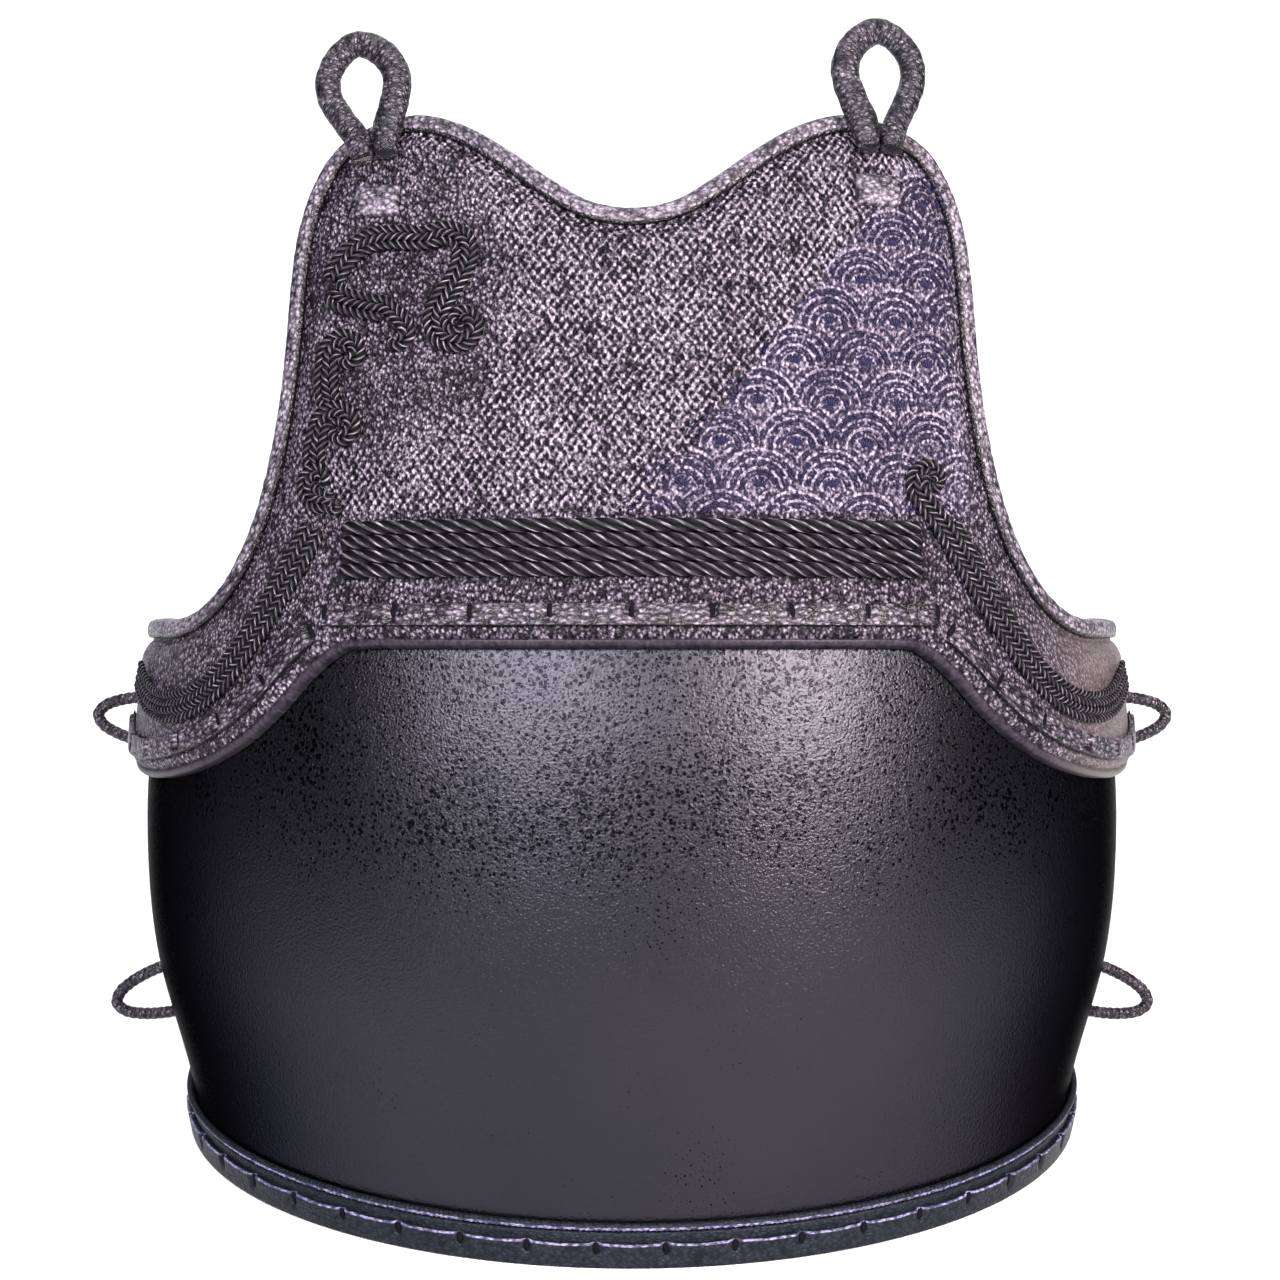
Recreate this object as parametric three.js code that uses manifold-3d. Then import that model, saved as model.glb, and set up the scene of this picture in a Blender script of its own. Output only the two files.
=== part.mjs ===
import * as THREE from 'three';
import { mergeVertices } from 'three/addons/utils/BufferGeometryUtils.js';
import Module from 'manifold-3d';

// Kendo chest protector: a hollow lacquered shell round the belly, and a padded leather
// chest plate laced over its upper edge. Millimetres, +Z up, the wearer faces -Y.
// Places on it are a turn (degrees round from the middle of the front, right positive),
// a height over the front of the rim, and a distance out from the shell's outer face.

// Whole form
const shellWidth = 400;
const frontDepth = 172;        // line of the sides to the foremost point of the belly
const shoulderHeight = 428.5;
const neckHeight = 389;
const borderHeight = 224.5;    // lower border of the chest plate, in front
const wingTopHeight = 236.5;
const wingDrop = 51.5;         // how far the wings hang below the front border
const backTurn = 104;          // where the shell's back edges stand
const leanAngle = 11.7;        // the rim rests flat, and the plate leans back by this
const fitGap = 0.3;            // between neighbours that touch
const seatGap = 0.55;          // between layers that lie on each other over the curve

// Shell and its rim
const wallThickness = 5;
const shellOverlap = 26;       // shell hidden behind the plate, in front
const shellTopStep = 18;       // shell's top below the wing's top, at the back
const shellTopTurn = 56;       // from here back the shell's top is level
const rimLeather = 2.3;
const rimSole = 2;
const rimHeight = 13.2;
const rimInnerHeight = 11;
const pipingThickness = 3.2;
const rimThongWidth = 9;
const rimThongThickness = 2;
const rimThongLift = 0.8;      // keeps the thong off the floor

// Chest plate, its edge binding and its lacing
const plateThickness = 6.2;
const plateEdgeThickness = 3;
const borderRound = 6;
const fieldRise = 8;           // from the thin edge up to the full thickness
const bindingWidth = 8.4;
const bindingWrap = 1.7;       // leather round the very edge
const bindingLeather = 1.5;
const bindingCrest = 1;        // how far the rolled front stands over its flat lip
const bindingGroove = 1.1;     // open line between the binding and the padded field
const thongWidth = 8.2;
const thongThickness = 1.9;
const thongInset = 11.1;       // its middle line from the lower border
const thongCornerTurn = 34.6;
const thongCornerLap = 0.4;    // a wing's thong starts this far under the corner, in turn
const wingThongTurn = 86;      // where it ends
const slitPitch = 28;
const slitLength = 5;

// Raised cords on the plate
const braidRows = 4;
const braidWidth = 4.9;
const braidPitch = 5.25;
const braidHeight = 2.6;
const braidStart = 27.2;       // lowest row's middle line over the border
const braidTurn = 32.8;
const cordBandWidth = 11.8;
const cordBandHeight = 2.8;
const cordReach = 100;         // height of the wing cord's run over the wing's foot
const curlRadius = 6.6;
const curlBandWidth = 6;
const curlLap = 0.8;           // the curl's first turn over the end of the band
const curlStart = -42;         // where its ring starts and ends, anticlockwise from the right
const curlEnd = -340;
const cloudHeight = 108;
const cloudTop = 381;
const cloudBandWidth = 9.4;
const cloudBandHeight = 2.8;

// Leather loops and keepers
const keeperWidth = 17;
const keeperLength = 12.5;
const keeperThickness = 2.4;
const shoulderLoopHeight = 52;
const shoulderLoopWidth = 28;
const shoulderLoopCord = 8.8;
const sideLoopReach = 33;
const sideLoopHeight = 20.5;
const sideLoopCord = 5.3;
const sideLoopTurn = 99;

// The shell's outer form, carried on up as the plate's back: shares of shoulderHeight,
// half of shellWidth, and frontDepth
const girth = [
  { up: 0, wide: 0.855, deep: 0.907, back: 0 },
  { up: 0.12, wide: 0.91, deep: 0.955, back: 0 },
  { up: 0.24, wide: 0.98, deep: 0.99, back: 0 },
  { up: 0.36, wide: 1, deep: 1, back: 0 },
  { up: 0.48, wide: 0.984, deep: 0.982, back: 0 },
  { up: 0.6, wide: 0.953, deep: 0.931, back: -0.001 },
  { up: 0.72, wide: 0.95, deep: 0.843, back: -0.015 },
  { up: 0.84, wide: 0.95, deep: 0.746, back: -0.029 },
  { up: 0.96, wide: 0.95, deep: 0.643, back: -0.011 },
  { up: 1.06, wide: 0.95, deep: 0.56, back: 0.014 },
];

// The plate as ribs from its lower border to its upper edge, middle to back. neckDip and
// armDrop are shares of the neckline's and the armhole's depth, hang is one of wingDrop.
const ribs = [
  { topTurn: 0, neckDip: 1, armDrop: 0, lowTurn: 0, hang: 0 },
  { topTurn: 4.5, neckDip: 0.93, armDrop: 0, lowTurn: 4, hang: 0 },
  { topTurn: 9, neckDip: 0.7, armDrop: 0, lowTurn: 7.5, hang: 0 },
  { topTurn: 14, neckDip: 0.39, armDrop: 0, lowTurn: 11, hang: 0 },
  { topTurn: 19.5, neckDip: 0.12, armDrop: 0, lowTurn: 14, hang: 0 },
  { topTurn: 25, neckDip: 0, armDrop: 0, lowTurn: 17, hang: 0 },
  { topTurn: 31, neckDip: 0, armDrop: 0.018, lowTurn: 19.5, hang: 0 },
  { topTurn: 36, neckDip: 0, armDrop: 0.06, lowTurn: 22, hang: 0 },
  { topTurn: 39.3, neckDip: 0, armDrop: 0.129, lowTurn: 24, hang: 0 },
  { topTurn: 41.6, neckDip: 0, armDrop: 0.225, lowTurn: 26, hang: 0 },
  { topTurn: 42.6, neckDip: 0, armDrop: 0.33, lowTurn: 28, hang: 0 },
  { topTurn: 43.1, neckDip: 0, armDrop: 0.453, lowTurn: 30, hang: 0.003 },
  { topTurn: 44, neckDip: 0, armDrop: 0.58, lowTurn: 32, hang: 0.015 },
  { topTurn: 45.4, neckDip: 0, armDrop: 0.69, lowTurn: 34.2, hang: 0.09 },
  { topTurn: 47.4, neckDip: 0, armDrop: 0.785, lowTurn: 37, hang: 0.23 },
  { topTurn: 50, neckDip: 0, armDrop: 0.865, lowTurn: 41, hang: 0.47 },
  { topTurn: 53.5, neckDip: 0, armDrop: 0.935, lowTurn: 46, hang: 0.69 },
  { topTurn: 58, neckDip: 0, armDrop: 0.98, lowTurn: 52, hang: 0.85 },
  { topTurn: 64, neckDip: 0, armDrop: 1, lowTurn: 58.5, hang: 0.945 },
  { topTurn: 71, neckDip: 0, armDrop: 1, lowTurn: 65.5, hang: 0.99 },
  { topTurn: 79, neckDip: 0, armDrop: 1, lowTurn: 73, hang: 0.99 },
  { topTurn: 87, neckDip: 0, armDrop: 1, lowTurn: 81.5, hang: 0.9 },
  { topTurn: 94, neckDip: 0, armDrop: 1, lowTurn: 90, hang: 0.62 },
];

// Middle line of the cord band on a wing: up is a share of cordReach over the wing's foot.
// The first row is the root of the right wing's curl.
const wingCordLine = [
  { turn: 34.3, up: 1.03 },
  { turn: 36.5, up: 0.96 },
  { turn: 38.5, up: 0.86 },
  { turn: 40.6, up: 0.755 },
  { turn: 44.4, up: 0.575 },
  { turn: 49.3, up: 0.405 },
  { turn: 54.4, up: 0.315 },
  { turn: 60.5, up: 0.28 },
  { turn: 67, up: 0.3 },
  { turn: 73, up: 0.37 },
  { turn: 78, up: 0.46 },
];

// The cloud ornament's two branches and its trail: down is a share of cloudHeight
const cloudHook = [
  { turn: -33.6, down: 0.11 },
  { turn: -30.1, down: 0.047 },
  { turn: -26.5, down: 0.042 },
  { turn: -23.4, down: 0.05 },
  { turn: -20.6, down: 0.035 },
  { turn: -18.5, down: 0.078 },
  { turn: -18.7, down: 0.153 },
  { turn: -20.4, down: 0.232 },
  { turn: -22, down: 0.303 },
  { turn: -22.2, down: 0.372 },
];
const cloudBack = [
  { turn: -33.6, down: 0.11 },
  { turn: -35, down: 0.185 },
  { turn: -34.4, down: 0.25 },
  { turn: -31.4, down: 0.275 },
  { turn: -28.1, down: 0.292 },
  { turn: -25.6, down: 0.33 },
  { turn: -24.9, down: 0.385 },
];
const cloudTrail = [
  { turn: -34.4, down: 0.27 },
  { turn: -35.9, down: 0.387 },
  { turn: -36.1, down: 0.5 },
  { turn: -35.2, down: 0.61 },
  { turn: -36.6, down: 0.74 },
  { turn: -37.2, down: 0.83 },
  { turn: -37.1, down: 0.93 },
];
const cloudSwirls = [
  { turn: -19, down: 0.365, wide: 1.35 },
  { turn: -26.3, down: 0.395, wide: 0.76 },
  { turn: -33.5, down: 0.447, wide: 1.06 },
  { turn: -33.8, down: 0.706, wide: 1.08 },
  { turn: -36.2, down: 0.87, wide: 0.9 },
];

// Half of a teardrop loop: shares of its height and of half its width
const teardrop = [
  { up: 0, side: 0.335 },
  { up: 0.2, side: 0.45 },
  { up: 0.42, side: 0.8 },
  { up: 0.62, side: 1 },
  { up: 0.8, side: 0.88 },
  { up: 0.94, side: 0.47 },
  { up: 1, side: 0 },
];

// Shares of shoulderHeight, with the lean in degrees
const shoulderLoops = [
  { side: 'left', turn: -29.6, foot: 0.951, keeper: 0.9137, lean: -11 },
  { side: 'right', turn: 28.7, foot: 0.958, keeper: 0.923, lean: 1 },
];
const sideLoops = [
  { name: 'side_loop_upper', up: 0.4504 },
  { name: 'side_loop_lower', up: 0.1914 },
];

// Rolled front of the edge binding: shares of bindingWidth in from the outline, and of
// bindingCrest over the flat leather
const bindingRoll = [
  { inset: 1, lift: -0.3 },
  { inset: 0.85, lift: 0.7 },
  { inset: 0.5, lift: 1 },
  { inset: 0.15, lift: 0.3 },
];

// Fineness of the meshes
const ringSteps = 44;
const shellRows = 7;
const plateColumns = 60;
const slitSteps = 3;
const braidSteps = 20;
const wingCordSteps = 26;
const curlSteps = 16;
const cloudStepsPerRow = 2;
const discSides = 12;
const pipingSides = 6;
const shoulderLoopSteps = 24;
const shoulderLoopSides = 8;
const sideLoopSteps = 16;
const sideLoopSides = 6;

// Leather, lacquer and cord
const lacquer = { color: 0x14141a, roughness: 0.42, metalness: 0 };
const plateLeather = { color: 0x2a252e, roughness: 0.55, metalness: 0 };
const trimLeather = { color: 0x2c2832, roughness: 0.5, metalness: 0 };
const blackCord = { color: 0x131217, roughness: 0.8, metalness: 0 };

const wasm = await Module();
wasm.setup();

const upright = new THREE.Group();
const radians = THREE.MathUtils.degToRad;
const mix = THREE.MathUtils.lerp;

function addPiece(name, geometry, finish) {
  const mesh = new THREE.Mesh(geometry, new THREE.MeshStandardMaterial(finish));
  mesh.name = name;
  upright.add(mesh);
}

// Smooth value of a table's column at a place along another column
function smoothAt(rows, along, column, at) {
  const last = rows.length - 1;
  let i = 0;
  while (i < last - 1 && at > rows[i + 1][along]) i += 1;
  const slope = (k) => {
    const before = rows[Math.max(k - 1, 0)];
    const after = rows[Math.min(k + 1, last)];
    return (after[column] - before[column]) / (after[along] - before[along]);
  };
  const span = rows[i + 1][along] - rows[i][along];
  const t = (at - rows[i][along]) / span;
  const ease = t * t * (3 - 2 * t);
  const lift = t * (1 - t) * (1 - t) * span * slope(i);
  const sink = t * t * (1 - t) * span * slope(i + 1);
  return mix(rows[i][column], rows[i + 1][column], ease) + lift - sink;
}

function formPoint(turn, height) {
  const up = height / shoulderHeight;
  const wide = smoothAt(girth, 'up', 'wide', up) * shellWidth / 2;
  const deep = smoothAt(girth, 'up', 'deep', up) * frontDepth;
  const back = smoothAt(girth, 'up', 'back', up) * frontDepth;
  const angle = radians(turn);
  return new THREE.Vector3(wide * Math.sin(angle), back - deep * Math.cos(angle), height);
}

// The point, the moves for one degree and for one millimetre of height, and the way out
function formFrame(turn, height) {
  const step = 0.02;
  const point = formPoint(turn, height);
  const round = formPoint(turn + step, height).sub(formPoint(turn - step, height)).divideScalar(2 * step);
  const rise = formPoint(turn, height + step).sub(formPoint(turn, height - step)).divideScalar(2 * step);
  const out = round.clone().cross(rise).normalize();
  return { point, round, rise, out };
}

function onForm(turn, height, distance) {
  const frame = formFrame(turn, height);
  return frame.point.addScaledVector(frame.out, distance);
}

// A place moved over the form by a vector that lies on it
function slide(place, move) {
  const { round, rise } = formFrame(place.turn, place.height);
  const rr = round.dot(round);
  const ru = round.dot(rise);
  const uu = rise.dot(rise);
  const r = round.dot(move);
  const u = rise.dot(move);
  const area = rr * uu - ru * ru;
  return {
    turn: place.turn + (r * uu - u * ru) / area,
    height: place.height + (u * rr - r * ru) / area,
  };
}

// Point at a distance out and at a lift over the tilted plane that the rim rests on
function onRim(turn, distance, lift) {
  const lean = radians(leanAngle);
  const frontEdge = formPoint(0, 0).y;
  const over = (point) => point.z * Math.cos(lean) - (point.y - frontEdge) * Math.sin(lean);
  let height = 0;
  let point = onForm(turn, height, distance);
  for (let i = 0; i < 12; i += 1) {
    height += (lift - over(point)) / Math.cos(lean);
    point = onForm(turn, height, distance);
  }
  return point;
}

function closedGeometry(geometry) {
  geometry.deleteAttribute('normal');
  geometry.deleteAttribute('uv');
  return mergeVertices(geometry, 0.0001);
}

// Moves each vertex of a unit geometry to the point that place(x, y, z) gives
function bent(geometry, place) {
  const position = geometry.getAttribute('position');
  for (let i = 0; i < position.count; i += 1) {
    const point = place(position.getX(i), position.getY(i), position.getZ(i));
    position.setXYZ(i, point.x, point.y, point.z);
  }
  return closedGeometry(geometry);
}

function outline(points) {
  return new THREE.Shape(points.map(([x, y]) => new THREE.Vector2(x, y)));
}

function roundOutline(thickness, sides) {
  const points = [];
  for (let i = 0; i < sides; i += 1) {
    const angle = (i + 0.5) * 2 * Math.PI / sides;
    points.push([Math.cos(angle) * thickness / 2, Math.sin(angle) * thickness / 2]);
  }
  return outline(points);
}

// Point, way out and way across of a line over the form, at a share of its length
function lineFrame(line, share) {
  const step = 0.0005;
  const place = line(share);
  const ahead = line(Math.min(share + step, 1));
  const behind = line(Math.max(share - step, 0));
  const { point, out } = formFrame(place.turn, place.height);
  const along = formPoint(ahead.turn, ahead.height).sub(formPoint(behind.turn, behind.height));
  along.addScaledVector(out, -along.dot(out)).normalize();
  const across = out.clone().cross(along);
  return { point, out, across };
}

// Section drawn in x across and y out, carried along a line over the form
function bandOnForm(section, steps, line, base, shape = (x, y) => [x, y]) {
  const straight = new THREE.ExtrudeGeometry(section, { steps, depth: 1, bevelEnabled: false });
  return bent(straight, (x, y, z) => {
    const frame = lineFrame(line, z);
    const [across, out] = shape(x, y, z);
    return frame.point.addScaledVector(frame.across, across).addScaledVector(frame.out, base + out);
  });
}

// Section drawn in x up and y out, carried round the rim
function bandOnRim(section, steps, turnEnd, shape = (x, y) => [x, y]) {
  const straight = new THREE.ExtrudeGeometry(section, { steps, depth: 1, bevelEnabled: false });
  return bent(straight, (x, y, z) => {
    const [lift, out] = shape(x, y, z);
    return onRim(mix(-turnEnd, turnEnd, z), out, lift);
  });
}

function fused(geometries) {
  const solids = geometries.map((geometry) => new wasm.Manifold(new wasm.Mesh({
    numProp: 3,
    vertProperties: new Float32Array(geometry.getAttribute('position').array),
    triVerts: new Uint32Array(geometry.getIndex().array),
  })));
  const whole = solids.slice(1).reduce((body, next) => body.add(next), solids[0]).getMesh();
  const geometry = new THREE.BufferGeometry();
  geometry.setAttribute('position', new THREE.BufferAttribute(whole.vertProperties, 3));
  geometry.setIndex(new THREE.BufferAttribute(whole.triVerts, 1));
  return geometry;
}

// The plate's two edges, from the left wing's back to the right wing's
const degreeLength = Math.PI * frontDepth / 180;

function edgeCurve(turnOf, heightOf) {
  const right = ribs.map((rib) => new THREE.Vector3(turnOf(rib) * degreeLength, heightOf(rib), 0));
  const left = right.slice(1).reverse().map((point) => new THREE.Vector3(-point.x, point.y, 0));
  const curve = new THREE.CatmullRomCurve3([...left, ...right]);
  return (share) => {
    const point = curve.getPoint(share);
    return { turn: point.x / degreeLength, height: point.y };
  };
}

const upperEdge = edgeCurve(
  (rib) => rib.topTurn,
  (rib) => shoulderHeight - rib.neckDip * (shoulderHeight - neckHeight)
    - rib.armDrop * (shoulderHeight - wingTopHeight),
);
const lowerEdge = edgeCurve((rib) => rib.lowTurn, (rib) => borderHeight - rib.hang * wingDrop);

function edgePoints(edge) {
  const count = 240;
  return Array.from({ length: count + 1 }, (_, i) => {
    const place = edge(i / count);
    return formPoint(place.turn, place.height);
  });
}

// Share of a rib, from its start, at which it is a given distance from an edge
function shareAtInset(start, end, edge, inset) {
  let near = 0;
  let far = 0.9;
  for (let i = 0; i < 22; i += 1) {
    const middle = (near + far) / 2;
    const point = formPoint(mix(start.turn, end.turn, middle), mix(start.height, end.height, middle));
    const clear = Math.min(...edge.map((other) => other.distanceTo(point)));
    if (clear < inset) near = middle;
    else far = middle;
  }
  return near;
}

function shellTop(turn) {
  const front = borderHeight + shellOverlap;
  const back = wingTopHeight - shellTopStep;
  return mix(front, back, THREE.MathUtils.smoothstep(Math.abs(turn), thongCornerTurn, shellTopTurn));
}

function buildShell() {
  const slab = new THREE.BoxGeometry(1, 1, 1, ringSteps, shellRows, 1);
  const foot = rimSole + fitGap;
  addPiece('do_shell', bent(slab, (x, y, z) => {
    const turn = mix(-backTurn, backTurn, x + 0.5);
    const out = mix(-wallThickness, 0, z + 0.5);
    const low = onRim(turn, out, foot);
    if (y === -0.5) return low;
    return onForm(turn, mix(low.z, shellTop(turn), y + 0.5), out);
  }), lacquer);
}

function buildRim() {
  const outer = fitGap + rimLeather;
  const inner = -wallThickness - fitGap;
  const wrap = outline([
    [0, inner - rimLeather], [0, outer], [rimHeight, outer], [rimHeight, fitGap],
    [rimSole, fitGap], [rimSole, inner], [rimInnerHeight, inner], [rimInnerHeight, inner - rimLeather],
  ]);
  addPiece('rim_binding', bandOnRim(wrap, ringSteps, backTurn), trimLeather);

  const piping = roundOutline(pipingThickness, pipingSides);
  addPiece('rim_piping', bandOnRim(piping, ringSteps, backTurn, (x, y) => [
    x + rimHeight + fitGap + pipingThickness / 2,
    y + fitGap + pipingThickness / 2,
  ]), trimLeather);

  const thong = crownedOutline(rimThongWidth, rimThongThickness);
  const slits = slitCount(formRound(backTurn), slitPitch);
  addPiece('rim_thong', bandOnRim(thong, slits * slitSteps, backTurn, (x, y, z) => [
    x + rimThongLift + rimThongWidth / 2,
    outer + fitGap + y * lacedShare(z, slits),
  ]), trimLeather);
}

// Length round the rim, out to both back edges
function formRound(turnEnd) {
  const count = 60;
  let length = 0;
  for (let i = 0; i < count; i += 1) {
    const from = mix(-turnEnd, turnEnd, i / count);
    const to = mix(-turnEnd, turnEnd, (i + 1) / count);
    length += onRim(from, 0, 0).distanceTo(onRim(to, 0, 0));
  }
  return length;
}

function slitCount(length, pitch) {
  return Math.max(1, Math.round(length / pitch));
}

// Thickness share of a thong that dives under its leather at each slit
function lacedShare(share, slits) {
  const fromSlit = Math.abs(share * slits - Math.round(share * slits)) * slitPitch;
  return fromSlit < slitLength ? 0.5 : 1;
}

// Plate: thin tongue in the binding, padded field, rounded lower border
const plateBack = seatGap;
const plateFace = plateBack + plateThickness;
const trimBase = plateFace + seatGap;

function plateStations() {
  const fieldStart = bindingWidth + bindingGroove;
  const edgeShare = plateEdgeThickness / plateThickness;
  return [
    { from: 'low', inset: 0, thick: 0.5 },
    { from: 'low', inset: borderRound * 0.3, thick: 0.85 },
    { from: 'low', inset: borderRound, thick: 1 },
    { from: 'field', share: 0.2, thick: 1 },
    { from: 'field', share: 0.4, thick: 1 },
    { from: 'field', share: 0.6, thick: 1 },
    { from: 'field', share: 0.8, thick: 1 },
    { from: 'top', inset: fieldStart + fieldRise, thick: 1 },
    { from: 'top', inset: fieldStart + fieldRise * 0.4, thick: mix(edgeShare, 1, 0.75) },
    { from: 'top', inset: fieldStart, thick: edgeShare },
    { from: 'top', inset: bindingWrap + fitGap, thick: edgeShare },
  ];
}

// The plate's places from the lower border to the upper edge, at one share of the edges
function plateColumn(at, stations, lowerLine) {
  const low = lowerEdge(at);
  const top = upperEdge(at);
  const inward = lineFrame(upperEdge, at).across.negate();
  const between = (start, end, share) => ({
    turn: mix(start.turn, end.turn, share),
    height: mix(start.height, end.height, share),
  });
  const places = stations.map((station) => {
    if (station.from === 'top') return slide(top, inward.clone().multiplyScalar(station.inset));
    if (station.from === 'low') {
      return between(low, top, station.inset && shareAtInset(low, top, lowerLine, station.inset));
    }
    return null;
  });
  const first = stations.findIndex((station) => station.from === 'field') - 1;
  const last = stations.findIndex((station) => station.from === 'top');
  stations.forEach((station, k) => {
    if (station.from === 'field') places[k] = between(places[first], places[last], station.share);
  });
  return places;
}

function buildPlate() {
  const stations = plateStations();
  const rows = stations.length - 1;
  const lowerLine = edgePoints(lowerEdge);
  const columns = Array.from({ length: plateColumns + 1 }, (_, i) => (
    plateColumn(i / plateColumns, stations, lowerLine)
  ));
  const slab = new THREE.BoxGeometry(1, 1, 1, plateColumns, rows, 1);
  addPiece('chest_plate', bent(slab, (x, y, z) => {
    const row = Math.round((y + 0.5) * rows);
    const { turn, height } = columns[Math.round((x + 0.5) * plateColumns)][row];
    return onForm(turn, height, plateBack + (z > 0 ? plateThickness * stations[row].thick : 0));
  }), plateLeather);
}

// Rolled leather that holds the plate's edge in its groove; its outer edge is the outline
function buildEdgeBinding() {
  const lipBottom = plateBack - fitGap;
  const lipTop = plateBack + plateEdgeThickness + fitGap;
  const flat = lipTop + bindingLeather;
  const section = outline([
    [-bindingWidth, lipTop],
    ...bindingRoll.map(({ inset, lift }) => [-bindingWidth * inset, flat + bindingCrest * lift]),
    [0, lipTop / 2],
    [-bindingWidth * bindingRoll.at(-1).inset, -bindingLeather], [-bindingWidth, -bindingLeather],
    [-bindingWidth, lipBottom], [-bindingWrap, lipBottom], [-bindingWrap, lipTop],
  ].reverse());
  addPiece('edge_binding', bandOnForm(section, plateColumns, upperEdge, 0), trimLeather);
}

function crownedOutline(width, height) {
  const top = width / 3;
  return outline([[-width / 2, 0], [width / 2, 0], [top, height], [-top, height]]);
}

function straightLine(height, turnStart, turnEnd) {
  return (share) => ({ turn: mix(turnStart, turnEnd, share), height });
}

// A line that keeps its distance from the lower border, between two shares of the border
function insetLine(inset, start, end) {
  return (share) => {
    const at = mix(start, end, share);
    return slide(lowerEdge(at), lineFrame(lowerEdge, at).across.multiplyScalar(inset));
  };
}

function lineLength(line) {
  const count = 40;
  const points = Array.from({ length: count + 1 }, (_, i) => {
    const place = line(i / count);
    return formPoint(place.turn, place.height);
  });
  return points.slice(1).reduce((sum, point, i) => sum + point.distanceTo(points[i]), 0);
}

function addThong(name, line) {
  const slits = slitCount(lineLength(line), slitPitch);
  const section = crownedOutline(thongWidth, thongThickness);
  addPiece(name, bandOnForm(section, slits * slitSteps, line, trimBase, (x, y, z) => [
    x,
    y * lacedShare(z, slits),
  ]), trimLeather);
}

// Share of the lower border at which it passes a turn
function borderShareAt(turn) {
  let low = 0.5;
  let high = 1;
  for (let i = 0; i < 24; i += 1) {
    const middle = (low + high) / 2;
    if (lowerEdge(middle).turn < turn) low = middle;
    else high = middle;
  }
  return low;
}

function buildThongs() {
  const height = borderHeight + thongInset;
  addThong('thong_centre', straightLine(height, -thongCornerTurn, thongCornerTurn));
  const start = borderShareAt(thongCornerTurn - thongCornerLap);
  const end = borderShareAt(wingThongTurn);
  addThong('thong_wing_right', insetLine(thongInset, start, end));
  addThong('thong_wing_left', insetLine(thongInset, 1 - end, 1 - start));
}

function buildBraids() {
  for (let i = 0; i < braidRows; i += 1) {
    const line = straightLine(borderHeight + braidStart + i * braidPitch, -braidTurn, braidTurn);
    const section = crownedOutline(braidWidth, braidHeight);
    addPiece(`braid_row_${i + 1}`, bandOnForm(section, braidSteps, line, trimBase), blackCord);
  }
}

// Smooth line through a table of places, mirrored to the left for side -1
function tableLine(rows, heightOf, side = 1) {
  const points = rows.map((row) => new THREE.Vector3(side * row.turn * degreeLength, heightOf(row), 0));
  const curve = new THREE.CatmullRomCurve3(points);
  return (share) => {
    const point = curve.getPointAt(share);
    return { turn: point.x / degreeLength, height: point.y };
  };
}

// Three cords side by side
function cordBandOutline(width, height) {
  const valley = height * 0.6;
  return outline([
    [-width / 2, 0], [width / 2, 0], [width / 2, valley], [width / 3, height], [width / 6, valley],
    [0, height], [-width / 6, valley], [-width / 3, height], [-width / 2, valley],
  ]);
}

function buildWingCords() {
  const foot = borderHeight - wingDrop;
  const heightOf = (row) => foot + row.up * cordReach;
  const section = cordBandOutline(cordBandWidth, cordBandHeight);
  const left = tableLine(wingCordLine.slice(1), heightOf, -1);
  addPiece('wing_cord_left', bandOnForm(section, wingCordSteps, left, trimBase), blackCord);

  const right = tableLine(wingCordLine, heightOf);
  const band = bandOnForm(section, wingCordSteps, right, trimBase);
  const start = right(0);
  const toCentre = formFrame(start.turn, start.height).rise.multiplyScalar(curlRadius + curlLap);
  const centre = slide(start, toCentre);
  const curl = (share) => {
    const angle = radians(mix(curlStart, curlEnd, share));
    const { round, rise } = formFrame(centre.turn, centre.height);
    const move = round.normalize().multiplyScalar(Math.cos(angle) * curlRadius);
    return slide(centre, move.addScaledVector(rise.normalize(), Math.sin(angle) * curlRadius));
  };
  const ring = bandOnForm(crownedOutline(curlBandWidth, cordBandHeight), curlSteps, curl, trimBase);
  addPiece('wing_cord_right', fused([band, ring]), blackCord);
}

function cloudDisc(swirl) {
  const radius = swirl.wide * cloudBandWidth;
  const topRadius = radius - cloudBandHeight / 2;
  const disc = new THREE.CylinderGeometry(topRadius, radius, cloudBandHeight, discSides);
  disc.rotateX(Math.PI / 2);
  const { point, rise, out } = formFrame(swirl.turn, cloudTop - swirl.down * cloudHeight);
  const up = rise.normalize();
  const across = up.clone().cross(out);
  const middle = point.addScaledVector(out, trimBase + cloudBandHeight / 2);
  return bent(disc, (x, y, z) => (
    middle.clone().addScaledVector(across, x).addScaledVector(up, y).addScaledVector(out, z)
  ));
}

function buildCloud() {
  const heightOf = (row) => cloudTop - row.down * cloudHeight;
  const section = crownedOutline(cloudBandWidth, cloudBandHeight);
  const bands = [cloudHook, cloudBack, cloudTrail].map((rows) => (
    bandOnForm(section, rows.length * cloudStepsPerRow, tableLine(rows, heightOf), trimBase)
  ));
  addPiece('cloud_cord', fused([...bands, ...cloudSwirls.map(cloudDisc)]), blackCord);
}

// Round cord bent to a curve in space
function cordAlong(points, thickness, steps, sides) {
  const extrudePath = new THREE.CatmullRomCurve3(points);
  return closedGeometry(new THREE.ExtrudeGeometry(roundOutline(thickness, sides), { steps, extrudePath }));
}

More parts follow.
